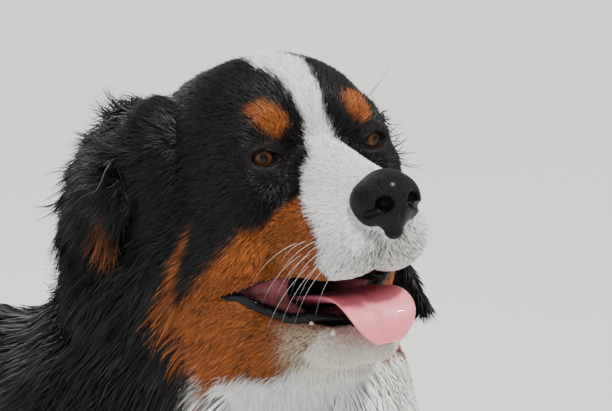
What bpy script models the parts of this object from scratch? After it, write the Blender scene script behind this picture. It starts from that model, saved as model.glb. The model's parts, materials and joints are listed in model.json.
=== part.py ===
"""A life-size, still model of a Bernese mountain dog that stands and looks to its right.

Metres, +Z up, nose towards -Y, the dog's left side towards +X. The whole animal is one smooth
distance function, made of ellipsoids and round cones that flow into each other: below zero is
inside. Each named part is the mesh of that function in its own region of space, so that the parts
meet face to face over a thin gap. Long coat is built as flat, tapered locks, rooted in a core.
"""

import math

import bpy
import mathutils
import numpy as np

# Driving sizes
GAP = 0.0003
CLEARANCE = GAP * 2.4
EYES_MIDDLE = (-0.050, -0.385, 0.872)
HEAD_TURN, HEAD_LIFT, HEAD_TILT = 24.0, 8.0, 2.5
EYE_SPACING = 0.094
EYEBALL_RADIUS = 0.0125
WITHERS_HEIGHT = 0.650
CORE_SHARE = 0.45
MOUTH_RIM = 0.35
MOUTH_DEPTH = 1.8
BODY_CELL = 0.010
HEAD_CELL = 0.0045
NOSE_CELL, NOSE_REACH, NOSE_TRIANGLES = 0.0015, 0.045, 520
SEED = 7
CM = 0.01

# Colours
BLACK_COAT = (0.020, 0.018, 0.018)
RUST_COAT = (0.330, 0.110, 0.030)
WHITE_COAT = (0.800, 0.780, 0.740)
NOSE_BLACK = (0.015, 0.015, 0.017)
TONGUE_PINK = (0.780, 0.330, 0.370)
EYE_BROWN = (0.090, 0.035, 0.012)


# Distance functions


def turned(axis, degrees):
    """The matrix that turns a point about one axis."""
    c = math.cos(math.radians(degrees))
    s = math.sin(math.radians(degrees))
    rows = {
        "x": [[1, 0, 0], [0, c, -s], [0, s, c]],
        "y": [[c, 0, s], [0, 1, 0], [-s, 0, c]],
        "z": [[c, -s, 0], [s, c, 0], [0, 0, 1]],
    }
    return np.array(rows[axis])


HEAD_AXES = turned("z", -HEAD_TURN) @ turned("x", -HEAD_LIFT) @ turned("y", -HEAD_TILT)
FORWARD_FLIP = np.array([1.0, -1.0, 1.0])


def to_head(points):
    """World points in the head's frame, in centimetres: left, forward and up from between the eyes."""
    return (points - np.array(EYES_MIDDLE)) @ HEAD_AXES * FORWARD_FLIP / CM


def from_head(places):
    """The head's frame back to the world."""
    return np.array(EYES_MIDDLE) + (np.asarray(places, float) * CM * FORWARD_FLIP) @ HEAD_AXES.T


def ball(points, centre, radii):
    """Distance to an ellipsoid, near enough to blend with."""
    scaled = (points - np.array(centre)) / np.array(radii)
    size = np.sqrt((scaled * scaled).sum(-1))
    slope = scaled / np.array(radii)
    return size * (size - 1) / np.maximum(np.sqrt((slope * slope).sum(-1)), 1e-6)


def limb(points, start, end, start_radius, end_radius):
    """Distance to a round rod whose radius changes evenly from end to end."""
    along = np.array(end) - np.array(start)
    away = points - np.array(start)
    share = np.clip(away @ along / (along @ along), 0, 1)
    away = away - share[..., None] * along
    return np.sqrt((away * away).sum(-1)) - (start_radius + share * (end_radius - start_radius))


def blend(a, b, width):
    """The union of two forms, with a fillet about as wide as said."""
    share = np.clip(0.5 + 0.5 * (b - a) / width, 0, 1)
    return b + (a - b) * share - width * share * (1 - share)


def carve(a, b, width):
    """The first form without the second, with a rounded edge."""
    return -blend(-a, b, width)


def folded(points, softness):
    """The points of both sides laid over each other, with the fold at the middle rounded."""
    both = points.copy()
    both[..., 0] = np.sqrt(both[..., 0] ** 2 + softness**2)
    return both


def lip_lines(forward):
    """Heights of the upper and the lower lip, in the head's frame, at a place along the muzzle."""
    upper = np.interp(forward, (-4.0, -2.0, -0.4, 1.0, 3.0), (-10.4, -10.0, -9.2, -9.3, -9.7))
    lower = np.interp(forward, (-4.0, -2.0, -0.8, 0.2, 1.2, 8.0), (-10.6, -10.9, -12.2, -12.9, -13.1, -16.0))
    return upper, lower


def closed_head(q):
    """Skull, brow, cheek, jaw muscle, muzzle, lips, chin, throat and the roots of the ears with the
    mouth shut, in the head's own centimetres; q is folded over the middle."""
    form = ball(q, (0, -6.9, 0.9), (7.6, 7.1, 5.8))
    form = blend(form, ball(q, (3.3, -2.2, 1.6), (2.9, 2.7, 2.0)), 1.2)
    form = blend(form, ball(q, (5.0, -3.6, -2.4), (2.9, 4.6, 4.2)), 1.6)
    form = blend(form, ball(q, (4.4, -6.2, -8.0), (4.2, 5.4, 5.6)), 2.0)
    muzzle = limb(q, (0, 1.0, -2.6), (0, 8.0, -4.2), 2.9, 2.5)
    muzzle = blend(muzzle, ball(q, (2.3, 3.4, -6.4), (2.6, 5.8, 3.3)), 1.4)
    muzzle = blend(muzzle, ball(q, (1.5, 6.5, -6.4), (2.3, 2.4, 2.6)), 1.0)
    form = blend(form, muzzle, 1.3)
    jaw = limb(q, (3.2, -5.0, -12.8), (1.8, 3.0, -15.0), 2.4, 1.1)
    jaw = blend(jaw, ball(q, (0, 2.9, -15.1), (2.9, 2.3, 1.1)), 1.0)
    jaw = blend(jaw, ball(q, (0, -1.5, -14.2), (3.6, 4.5, 1.7)), 1.0)
    form = blend(form, jaw, 1.0)
    form = blend(form, ball(q, (0, -7.5, -10.5), (5.0, 6.5, 5.5)), 2.0)
    form = blend(form, ball(q, (7.2, -10.6, -0.2), (3.0, 3.4, 4.0)), 0.8)
    return blend(form, ball(q, (4.9, -0.75, 0.05), (1.75, 1.55, 1.35)), 0.6)


def head_form(points):
    """The head in metres with its mouth shut and a socket for each eye carved in."""
    q = folded(to_head(points), 0.4)
    return carve(closed_head(q), ball(q, (5.0, 0.55, 0.0), (1.35, 1.1, 0.80)), 0.35) * CM


def mouth_form(points, closed):
    """The hollow of the open mouth in metres: the space between the lip lines, and a ball behind them.
    At the back it is only MOUTH_DEPTH deep, because the cheek's flesh lies there."""
    q = folded(to_head(points), 0.4)
    forward, up = q[..., 1], q[..., 2]
    upper, lower = lip_lines(forward)
    opening = np.maximum((np.maximum(up - upper, lower - up)) * 0.85, -4.0 - forward)
    opening = np.maximum(opening, -closed / CM - MOUTH_DEPTH - 3.0 * np.maximum(forward - 1.5, 0))
    return blend(opening, ball(q, (0, 0.0, -11.0), (3.0, 7.5, 2.0)), 0.6) * CM


def trunk_form(points):
    """Rib cage, belly, croup, spine, shoulders, breast and thighs."""
    q = folded(points, 0.010)
    form = ball(q, (0, -0.09, 0.500), (0.128, 0.26, 0.148))
    form = blend(form, ball(q, (0, 0.15, 0.515), (0.110, 0.22, 0.116)), 0.05)
    form = blend(form, ball(q, (0, 0.26, 0.540), (0.098, 0.118, 0.100)), 0.05)
    spine = WITHERS_HEIGHT - 0.060
    form = blend(form, limb(q, (0, -0.13, spine), (0, 0.26, spine - 0.015), 0.060, 0.068), 0.05)
    form = blend(form, ball(q, (0.085, -0.185, 0.475), (0.058, 0.095, 0.155)), 0.05)
    form = blend(form, ball(q, (0, -0.275, 0.475), (0.092, 0.070, 0.120)), 0.06)
    return blend(form, ball(q, (0.085, 0.250, 0.430), (0.062, 0.108, 0.150)), 0.05)


def neck_form(points):
    """The neck and the throat."""
    form = limb(points, (0, -0.175, 0.560), (-0.028, -0.285, 0.780), 0.110, 0.074)
    return blend(form, limb(points, (0.006, -0.300, 0.50), (-0.032, -0.338, 0.74), 0.118, 0.074), 0.05)


FORE_PAW, FORE_PAW_WIDTH = (0.088, -0.222), 0.042
HIND_PAW, HIND_PAW_WIDTH = (0.096, 0.298), 0.039
TOES = (-1.5, -0.5, 0.5, 1.5)


def foreleg_form(points):
    """Upper arm, forearm and pastern."""
    q = folded(points, 0.0005)
    form = limb(q, (0.095, -0.165, 0.42), (0.092, -0.150, 0.335), 0.068, 0.050)
    form = blend(form, limb(q, (0.092, -0.155, 0.335), (0.088, -0.185, 0.135), 0.045, 0.034), 0.03)
    return blend(form, limb(q, (0.088, -0.185, 0.135), (0.088, -0.198, 0.055), 0.033, 0.034), 0.02)


def hindleg_form(points):
    """Thigh, second thigh and hock."""
    q = folded(points, 0.0005)
    form = limb(q, (0.090, 0.235, 0.44), (0.105, 0.205, 0.330), 0.085, 0.058)
    form = blend(form, limb(q, (0.104, 0.215, 0.330), (0.098, 0.338, 0.185), 0.054, 0.029), 0.035)
    return blend(form, limb(q, (0.098, 0.343, 0.180), (0.096, 0.318, 0.060), 0.027, 0.030), 0.02)


def toe_reach(toe):
    """How far a toe stands forward of the paw's middle; the inner two reach farthest."""
    return 0.036 - 0.007 * abs(toe)


def paw_form(points, paw, width):
    """A paw: the pad's body, four toes side by side, and a sole cut flat at the floor."""
    q = folded(points, 0.0005)
    x, y = paw
    form = ball(q, (x, y + 0.010, 0.030), (width, 0.046, 0.036))
    for side in TOES:
        reach = toe_reach(side)
        toe = ball(q, (x + side * width * 0.46, y - reach, 0.019), (width * 0.27, 0.024, 0.024))
        form = blend(form, toe, 0.006)
    return form


TAIL_PATH = ((0, 0.350, 0.590), (0, 0.425, 0.520), (0, 0.462, 0.40), (0, 0.468, 0.29), (0, 0.498, 0.19))
TAIL_RADII = (0.036, 0.032, 0.027, 0.023, 0.016)


def tail_form(points):
    """Tapered rods along the tail's path."""
    form = limb(points, TAIL_PATH[0], TAIL_PATH[1], TAIL_RADII[0], TAIL_RADII[1])
    for i in range(1, len(TAIL_PATH) - 1):
        length = limb(points, TAIL_PATH[i], TAIL_PATH[i + 1], TAIL_RADII[i], TAIL_RADII[i + 1])
        form = blend(form, length, 0.02)
    return form


def closed_form(points):
    """The whole animal to its skin, with its mouth shut."""
    form = blend(trunk_form(points), neck_form(points), 0.06)
    form = blend(form, head_form(points), 0.03)
    form = blend(form, foreleg_form(points), 0.03)
    form = blend(form, hindleg_form(points), 0.04)
    form = blend(form, tail_form(points), 0.02)
    form = blend(form, paw_form(points, FORE_PAW, FORE_PAW_WIDTH), 0.015)
    return blend(form, paw_form(points, HIND_PAW, HIND_PAW_WIDTH), 0.015)


# The coat: where on the body, how long to the tips, and which way it lies

BODY_COAT = (
    ("withers", (0, -0.12, 0.66), 0.028, (0, 1, -0.1)),
    ("back", (0, 0.10, 0.65), 0.026, (0, 1, -0.1)),
    ("croup", (0, 0.30, 0.63), 0.030, (0, 1, -0.5)),
    ("shoulder", (0.14, -0.18, 0.52), 0.030, (0, 0.5, -0.85)),
    ("ribs", (0.15, 0.00, 0.50), 0.030, (0, 0.8, -0.6)),
    ("flank", (0.12, 0.17, 0.47), 0.032, (0, 0.7, -0.7)),
    ("belly", (0, 0.05, 0.37), 0.042, (0, 0.8, -0.6)),
    ("chest", (0, -0.36, 0.52), 0.050, (0, 0, -1)),
    ("brisket", (0, -0.22, 0.36), 0.045, (0, 0.4, -0.9)),
    ("neck_side", (0.10, -0.25, 0.70), 0.036, (0, 0.45, -0.9)),
    ("neck_back", (0, -0.13, 0.76), 0.034, (0, 0.7, -0.7)),
    ("throat", (0, -0.37, 0.70), 0.045, (0, -0.1, -1)),
    ("upper_foreleg", (0.14, -0.16, 0.40), 0.020, (0, 0.2, -1)),
    ("forearm_front", (0.09, -0.20, 0.25), 0.007, (0, 0, -1)),
    ("forearm_back", (0.09, -0.11, 0.27), 0.026, (0, 0.4, -0.9)),
    ("pastern", (0.09, -0.19, 0.10), 0.007, (0, 0, -1)),
    ("fore_paw", (0.088, -0.23, 0.03), 0.005, (0, -0.8, -0.5)),
    ("thigh", (0.15, 0.25, 0.44), 0.026, (0, 0.2, -1)),
    ("breech", (0.08, 0.36, 0.42), 0.045, (0, 0.15, -1)),
    ("shank", (0.11, 0.25, 0.27), 0.012, (0, 0.3, -0.9)),
    ("hock", (0.10, 0.35, 0.15), 0.006, (0, 0, -1)),
    ("hind_paw", (0.096, 0.30, 0.03), 0.005, (0, -0.8, -0.5)),
    ("tail_root", (0, 0.40, 0.56), 0.032, (0, 0.5, -0.85)),
    ("tail_middle", (0, 0.46, 0.38), 0.052, (0, 0.2, -1)),
    ("tail_end", (0, 0.49, 0.20), 0.050, (0, 0.3, -1)),
)
HEAD_COAT = (
    ("bridge", (0, 6, -1.3), 0.002, (0, -1, 0)),
    ("upper_lip", (3.5, 5, -7), 0.004, (0.1, -0.8, -0.6)),
    ("pads", (1.5, 9, -6), 0.003, (0.5, -0.5, -0.6)),
    ("forehead", (0, -1, 4.5), 0.005, (0, -0.9, 0.4)),
    ("brow", (4, 0.5, 2.5), 0.004, (0.3, -0.9, 0.2)),
    ("under_eye", (4.5, 1, -2.5), 0.003, (0.3, -0.9, -0.3)),
    ("crown", (0, -8, 7.0), 0.008, (0, -1, -0.1)),
    ("temple", (6.5, -4, 1), 0.007, (0.2, -0.9, -0.3)),
    ("cheek", (7, -3, -5), 0.010, (0.2, -0.8, -0.6)),
    ("jowl", (6.5, -7, -9.5), 0.020, (0.2, -0.6, -0.8)),
    ("mouth_corner", (6.5, -2.5, -11.0), 0.005, (0.2, -0.9, -0.4)),
    ("lower_lip", (4.5, 1, -14), 0.004, (0.1, -0.9, -0.4)),
    ("chin", (0, 3, -15.5), 0.005, (0, -0.7, -0.6)),
    ("throat_front", (0, -4, -16.5), 0.020, (0, -0.5, -0.9)),
    ("nape", (0, -15, 4), 0.032, (0, -0.7, -0.7)),
)


def coat_at(points):
    """The coat's length and its lie at each point, as an average of the places around it."""
    side = np.where(points[..., 0] < 0, -1.0, 1.0)
    total = 0.0
    length = 0.0
    lie = np.zeros(points.shape)
    for _, place, tips, direction in BODY_COAT:
        away = folded(points, 0.0) - np.array(place)
        weight = 1 / ((away * away).sum(-1) + 0.04**2) ** 2
        heading = np.array(direction) * np.stack([side, side * 0 + 1, side * 0 + 1], -1)
        total = total + weight
        length = length + weight * tips
        lie = lie + weight[..., None] * heading
    places = to_head(points)
    side = np.where(places[..., 0] < 0, -1.0, 1.0)
    for _, place, tips, direction in HEAD_COAT:
        away = (folded(places, 0.0) - np.array(place)) * CM
        weight = 1 / ((away * away).sum(-1) + 0.02**2) ** 2
        heading = np.array(direction) * np.stack([side, side * 0 + 1, side * 0 + 1], -1)
        heading = (heading * FORWARD_FLIP) @ HEAD_AXES.T
        total = total + weight
        length = length + weight * tips
        lie = lie + weight[..., None] * heading
    lie = lie / np.sqrt((lie * lie).sum(-1))[..., None]
    return length / total, lie


def core_form(points):
    """The animal with the dense inner share of its coat, which ends at the rim of the mouth."""
    closed = closed_form(points)
    outside_mouth = np.clip(1 + closed / CM / MOUTH_RIM, 0, 1)
    form = carve(closed, mouth_form(points, closed), 0.005)
    return form - coat_at(points)[0] * CORE_SHARE * outside_mouth


# Meshes


def near_surface(form, points, cell):
    """The form at every grid point near its surface, and at the rest a value from a coarser grid."""
    skip = 4
    coarse = points[::skip, ::skip, ::skip]
    values = form(coarse.reshape(-1, 3)).reshape(coarse.shape[:3])
    for axis in range(3):
        values = np.repeat(values, skip, axis=axis)
    values = values[: points.shape[0], : points.shape[1], : points.shape[2]].copy()
    near = np.abs(values) < skip * cell * 2.2
    values[near] = form(points[near])
    return values


def grid_mesh(form, low, high, cell):
    """The closed surface of a form inside a box. Each cube of the grid is six tetrahedra round its
    long diagonal, and each tetrahedron that the surface crosses gives one triangle or two."""
    counts = np.ceil((np.array(high) - np.array(low)) / cell).astype(int) + 1
    ticks = [low[i] + cell * np.arange(counts[i]) for i in range(3)]
    points = np.stack(np.meshgrid(*ticks, indexing="ij"), -1)
    values = near_surface(form, points, cell)
    for axis in range(3):
        for end in (0, -1):
            face = [slice(None)] * 3
            face[axis] = end
            values[tuple(face)] = np.maximum(values[tuple(face)], cell * 0.3)
    strides = np.array((counts[1] * counts[2], counts[2], 1))
    corners = np.array([(k & 1, k >> 1 & 1, k >> 2 & 1) for k in range(8)])
    inside = values < 0
    cubes = counts - 1
    ends = corners + cubes
    full = sum(inside[a[0] : b[0], a[1] : b[1], a[2] : b[2]].astype(int) for a, b in zip(corners, ends))
    crossed = np.argwhere((full > 0) & (full < 8))
    number = (crossed @ strides)[:, None] + corners @ strides
    between = ((1, 3), (3, 2), (2, 6), (6, 4), (4, 5), (5, 1))
    tetrahedra = np.array([(0, a, b, 7) for a, b in between])
    four = number[:, tetrahedra].reshape(-1, 4)
    flat_values, flat_points = values.reshape(-1), points.reshape(-1, 3)
    order = np.argsort(flat_values[four] >= 0, axis=1, kind="stable")
    four = np.take_along_axis(four, order, 1)
    within = (flat_values[four] < 0).sum(1)
    edges = []
    for count, pairs in ((1, ((0, 1), (0, 2), (0, 3))), (3, ((0, 3), (1, 3), (2, 3)))):
        chosen = four[within == count]
        edges.append(np.stack([chosen[:, pair] for pair in pairs], 1))
    chosen = four[within == 2]
    for pairs in (((0, 2), (0, 3), (1, 3)), ((0, 2), (1, 3), (1, 2))):
        edges.append(np.stack([chosen[:, pair] for pair in pairs], 1))
    edges = np.concatenate(edges)
    keys, faces = np.unique(edges.reshape(-1, 2) @ np.array((len(flat_values), 1)), return_inverse=True)
    faces = faces.reshape(-1, 3)
    first, second = keys // len(flat_values), keys % len(flat_values)
    share = flat_values[first] / (flat_values[first] - flat_values[second])
    share = np.clip(share, 0.06, 0.94)[:, None]
    surface = flat_points[first] * (1 - share) + flat_points[second] * share
    a, b, c = (surface[faces[:, k]] for k in range(3))
    inner = flat_points[edges[:, 0, 0]]
    away = (np.cross(b - a, c - a) * (inner - a)).sum(1) > 0
    faces[away] = faces[away][:, ::-1]
    return surface, faces


def add_object(name, points, faces):
    """A mesh object in the scene."""
    mesh = bpy.data.meshes.new(name)
    mesh.from_pydata(np.asarray(points).tolist(), [], np.asarray(faces).tolist())
    mesh.update()
    added = bpy.data.objects.new(name, mesh)
    bpy.context.scene.collection.objects.link(added)
    return added


def apply_modifiers(thing):
    """The object's evaluated mesh in place of its own, with no modifier left."""
    bpy.context.view_layer.update()
    graph = bpy.context.evaluated_depsgraph_get()
    done = bpy.data.meshes.new_from_object(thing.evaluated_get(graph))
    thing.modifiers.clear()
    thing.data = done
    return thing


def thinned(thing, triangles):
    """The same surface in about this many triangles."""
    now = sum(len(face.vertices) - 2 for face in thing.data.polygons)
    reduce = thing.modifiers.new("thin", "DECIMATE")
    reduce.ratio = min(1.0, triangles / now)
    return apply_modifiers(thing)


def joined(thing, operation, others):
    """One Boolean with a collection of closed meshes, which are then removed."""
    group = bpy.data.collections.new("pieces")
    bpy.context.scene.collection.children.link(group)
    for other in others:
        for home in list(other.users_collection):
            home.objects.unlink(other)
        group.objects.link(other)
    boolean = thing.modifiers.new("joined", "BOOLEAN")
    boolean.operation = operation
    boolean.solver = "MANIFOLD"
    boolean.operand_type = "COLLECTION"
    boolean.collection = group
    apply_modifiers(thing)
    for other in others:
        bpy.data.objects.remove(other)
    bpy.data.collections.remove(group)
    return thing


def largest_surface(thing):
    """Only the closed surface that holds the most volume, so that no scrap or sealed hollow is left."""
    mesh = thing.data
    mesh.calc_loop_triangles()
    corners = np.array([triangle.vertices[:] for triangle in mesh.loop_triangles])
    points = np.array([vertex.co[:] for vertex in mesh.vertices])
    label = np.arange(len(points))
    while True:
        least = label[corners].min(1)
        after = label.copy()
        for k in range(3):
            np.minimum.at(after, corners[:, k], least)
        after = after[after]
        if (after == label).all():
            break
        label = after
    a, b, c = points[corners[:, 0]], points[corners[:, 1]], points[corners[:, 2]]
    volume = (a * np.cross(b, c)).sum(1) / 6
    group = label[corners[:, 0]]
    sums = np.bincount(group, weights=volume, minlength=len(points))
    kept = group == np.argmax(sums)
    used = np.unique(corners[kept])
    number = np.full(len(points), -1)
    number[used] = np.arange(len(used))
    fresh = bpy.data.meshes.new(thing.name)
    fresh.from_pydata(points[used].tolist(), [], number[corners[kept]].tolist())
    fresh.update()
    thing.data = fresh
    return thing


def inflated(thing):
    """A copy a little larger all round, to cut a neighbour clear with."""
    copy = thing.copy()
    copy.data = thing.data.copy()
    bpy.context.scene.collection.objects.link(copy)
    places = [vertex.co + vertex.normal * CLEARANCE for vertex in copy.data.vertices]
    for vertex, place in zip(copy.data.vertices, places):
        vertex.co = place
    return copy


def block(point, facing, size=3.0):
    """A large box that fills the space on the far side of a plane, away from where it faces."""
    normal = np.array(facing, float) / np.linalg.norm(facing)
    helper = np.array((1.0, 0.0, 0.0)) if abs(normal[0]) < 0.9 else np.array((0.0, 1.0, 0.0))
    across = np.cross(normal, helper)
    across = across / np.linalg.norm(across)
    third = np.cross(normal, across)
    corners = []
    for depth in (0, -1):
        for i, j in ((-1, -1), (1, -1), (1, 1), (-1, 1)):
            corners.append(np.array(point) + (across * i + third * j + normal * depth * 2) * size / 2)
    faces = [(0, 1, 2, 3), (7, 6, 5, 4), (0, 4, 5, 1), (1, 5, 6, 2), (2, 6, 7, 3), (3, 7, 4, 0)]
    centre = np.mean(corners, 0)
    outward = np.cross(corners[1] - corners[0], corners[2] - corners[0]) @ (corners[0] - centre) > 0
    if not outward:
        faces = [face[::-1] for face in faces]
    return add_object("block", corners, faces)


def trimmed(thing, planes):
    """What is left in front of every plane, given as a point and the way that it faces."""
    return joined(thing, "DIFFERENCE", [block(*plane) for plane in planes])


# Where the parts meet: a point on each cut and the way that it faces


def head_cut(side):
    """Behind the skull and under the jaw; side is 1 for the head's share, -1 for the neck's."""
    normal = HEAD_AXES @ (np.array((0, 0.902, 0.431)) * FORWARD_FLIP)
    return from_head((0, -16.0, 5.0)) + normal * side * GAP / 2, normal * side


def jaw_cuts():
    """The lower jaw, from the corner of the mouth down and forward."""
    down = HEAD_AXES @ (np.array((0, -0.15, -0.99)) * FORWARD_FLIP)
    front = HEAD_AXES @ (np.array((0, 1, 0)) * FORWARD_FLIP)
    corner = from_head((0, -4.2, -11.1))
    return [(corner, down), (corner, front)]


def neck_cut(side):
    """From the withers down to the breast."""
    normal = np.array((0, -0.459, 0.889))
    return np.array((0, -0.09, 0.66)) + normal * side * GAP / 2, normal * side


def tail_cut(side):
    """Across the tail's root."""
    return np.array((0, 0.383 + side * GAP / 2, 0.5)), np.array((0, side, 0))


def foreleg_cuts(side):
    """The armpit's slope, the middle of the body and the back of the elbow."""
    slope = ((0, -0.17, 0.302), (side * 0.625, 0, -0.781))
    return [slope, ((side * GAP / 2, 0, 0), (side, 0, 0)), ((0, -0.045, 0.3), (0, -1, 0))]


def hindleg_cuts(side):
    """The groin's slope, the middle of the body, the fold of the flank and the tail's space."""
    slope = ((side * 0.04, 0.25, 0.400), (side * 0.678, 0, -0.735))
    flank = ((0, 0.115, 0.45), (side * -0.10, 0.980, 0.174))
    return [slope, ((side * GAP / 2, 0, 0), (side, 0, 0)), flank, ((0, 0.383 - GAP / 2, 0.5), (0, -1, 0))]


def shank_cut(facing):
    """Below the knee; facing is 1 for what is below it."""
    normal = np.array((0, 0.45, -0.893))
    return np.array((0.10, 0.27, 0.275)) + normal * facing * GAP / 2, normal * facing


def paw_cut(facing):
    """Above the toes; facing is 1 for the leg's share, above it."""
    return (0, 0, 0.078 + facing * GAP / 2), (0, 0, facing)


def moved(planes, distance):
    """The same cuts, each moved this far the way that it faces."""
    shifted = []
    for point, facing in planes:
        normal = np.array(facing, float) / np.linalg.norm(facing)
        shifted.append((np.array(point, float) + normal * distance, normal))
    return shifted


def wedge(planes):
    """The space in front of a few planes, a little larger, as a solid to cut with."""
    space = block((0, 0, 1.4), (0, 0, 1))
    return trimmed(space, moved(planes, -GAP))


# Swept pieces


def swept(name, rings):
    """A closed tube through rings of points, all with the same count, its ends closed by flat faces."""
    rings = np.asarray(rings)
    count, around = rings.shape[:2]
    faces = []
    for i in range(count - 1):
        for j in range(around):
            a, b = i * around + j, i * around + (j + 1) % around
            faces.append((a, a + around, b + around))
            faces.append((a, b + around, b))
    for j in range(1, around - 1):
        faces.append((0, j, j + 1))
        last = (count - 1) * around
        faces.append((last, last + j + 1, last + j))
    return add_object(name, rings.reshape(-1, 3), outward(rings.reshape(-1, 3), faces))


def outward(points, faces):
    """The faces turned so that the volume they enclose is positive."""
    corners = np.array(faces)
    a, b, c = points[corners[:, 0]], points[corners[:, 1]], points[corners[:, 2]]
    volume = (a * np.cross(b, c)).sum()
    return corners if volume > 0 else corners[:, ::-1]


def smooth_curve(knots, share):
    """A point on a smooth curve through the knots, at a share from 0 to 1 of the way."""
    knots = np.asarray(knots, float)
    place = np.asarray(share) * (len(knots) - 1)
    i = np.clip(np.floor(place).astype(int), 0, len(knots) - 2)
    t = (place - i)[..., None]
    before, start = knots[np.maximum(i - 1, 0)], knots[i]
    end, after = knots[i + 1], knots[np.minimum(i + 2, len(knots) - 1)]
    pull = (end - before) * t + (2 * before - 5 * start + 4 * end - after) * t**2
    return start + 0.5 * (pull + (3 * (start - end) + after - before) * t**3)


# Locks of long coat

LOCK_SHARES = np.array((0.0, 0.2, 0.42, 0.64, 0.84, 1.0))
LOCK_WIDTHS = np.array((0.75, 1.0, 1.0, 0.82, 0.5, 0.0))
LOCK_DEPTHS = np.array((0.7, 1.0, 0.95, 0.8, 0.55, 0.0))
LOCK_HEIGHTS = np.array((-0.35, 0.05, 0.40, 0.68, 0.88, 1.0))


def outward_at(form, points, step=0.004):
    """The way straight out of the form at each point."""
    slopes = [form(points + step * way) - form(points - step * way) for way in np.eye(3)]
    slopes = np.stack(slopes, -1)
    return slopes / np.linalg.norm(slopes, axis=-1, keepdims=True)


def unit(vectors):
    """Each vector with length one."""
    return vectors / np.maximum(np.linalg.norm(vectors, axis=-1, keepdims=True), 1e-9)


def spread_roots(part, count, keep, rng):
    """Points spread evenly over the part of the surface that is kept."""
    part.data.calc_loop_triangles()
    points = np.array([vertex.co[:] for vertex in part.data.vertices])
    corners = points[np.array([triangle.vertices[:] for triangle in part.data.loop_triangles])]
    area = np.linalg.norm(np.cross(corners[:, 1] - corners[:, 0], corners[:, 2] - corners[:, 0]), axis=1)
    chosen = rng.choice(len(corners), 60 * count, p=area / area.sum())
    one, two = rng.random((2, len(chosen), 1))
    swap = one + two > 1
    one, two = np.where(swap, 1 - one, one), np.where(swap, 1 - two, two)
    a, b, c = (corners[chosen, k] for k in range(3))
    places = a + one * (b - a) + two * (c - a)
    places = places[keep(places)]
    roots = [places[0]]
    distance = np.linalg.norm(places - roots[0], axis=1)
    for _ in range(count - 1):
        farthest = np.argmax(distance)
        roots.append(places[farthest])
        distance = np.minimum(distance, np.linalg.norm(places - places[farthest], axis=1))
    return np.array(roots)


def lock_paths(roots, reach, droop, rng):
    """Paths along the lie of the coat that start inside the core and end at the tips of the coat."""
    points = roots.copy()
    length = reach * rng.uniform(0.85, 1.15, len(roots))[:, None]
    wander = rng.normal(0, 0.16, (len(roots), 3))
    tips = coat_at(points)[0] * (1 - CORE_SHARE)
    paths, ups = [], []
    before = 0.0
    for share, height in zip(LOCK_SHARES, LOCK_HEIGHTS):
        up = outward_at(core_form, points)
        heading = coat_at(points)[1] + wander * share + np.array((0, 0, -droop * share))
        heading = unit(heading - up * (heading * up).sum(-1, keepdims=True))
        points = points + heading * length * (share - before)
        for _ in range(2):
            up = outward_at(core_form, points)
            points = points + up * (tips * height - core_form(points))[:, None]
        before = share
        paths.append(points)
        ups.append(up)
    return np.stack(paths, 1), np.stack(ups, 1)


def lock(path, ups, width, depth):
    """A flat, ridged lock of three sides that tapers to a point."""
    along = unit(np.gradient(path, axis=0))
    across = unit(np.cross(along, ups))
    rise = unit(np.cross(across, along))
    half = (width / 2 * LOCK_WIDTHS)[:, None]
    high = (depth * LOCK_DEPTHS)[:, None]
    left = path - across * half - rise * high * 0.35
    right = path + across * half - rise * high * 0.35
    ridge = path + rise * high * 0.65
    rings = np.stack([left, right, ridge], 1)[:-1]
    points = np.concatenate([rings.reshape(-1, 3), path[-1:]])
    tip = len(points) - 1
    faces = [(0, 1, 2)]
    for i in range(len(rings) - 1):
        for j in range(3):
            a, b = i * 3 + j, i * 3 + (j + 1) % 3
            faces += [(a, a + 3, b + 3), (a, b + 3, b)]
    last = 3 * (len(rings) - 1)
    faces += [(last + j, tip, last + (j + 1) % 3) for j in range(3)]
    return add_object("lock", points, outward(points - points.mean(0), faces))


def add_locks(part, kind, keep):
    """Locks spread over the kept places of one part, fused into its core."""
    count, reach, width, depth, droop, seed = LOCKS[kind]
    rng = np.random.default_rng(SEED + seed)
    roots = spread_roots(part, count, keep, rng)
    paths, ups = lock_paths(roots, reach, droop, rng)
    sizes = rng.uniform(0.85, 1.15, count)
    locks = [lock(paths[i], ups[i], width * sizes[i], depth) for i in range(count)]
    return largest_surface(joined(part, "UNION", locks))


def before_cuts(points, planes, margin):
    """Which points lie in front of every cut, by a margin."""
    kept = np.ones(len(points), bool)
    for point, facing in planes:
        normal = np.array(facing, float) / np.linalg.norm(facing)
        kept &= (points - np.array(point)) @ normal > margin
    return kept


# The head's own pieces

EYE_PLACE = np.array((EYE_SPACING / 2 / CM, -0.75, 0.0))
GAZE_OUT = 20.0
LID_HALF_WIDTH, LID_HALF_HEIGHT, LID_THICKNESS = 1.18, 0.66, 0.24


def named(kind, side):
    """A part's name with its side; the dog's left is 1."""
    return kind + ("_left" if side > 0 else "_right")


def make_eye(side):
    """The eyeball, a ball of its own in its socket."""
    bpy.ops.mesh.primitive_ico_sphere_add(subdivisions=3, radius=EYEBALL_RADIUS, location=(0, 0, 0))
    eye = bpy.context.object
    eye.name = named("eye", side)
    eye.data.transform(mathutils.Matrix.Translation(from_head(EYE_PLACE * np.array((side, 1, 1)))))
    return eye


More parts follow.
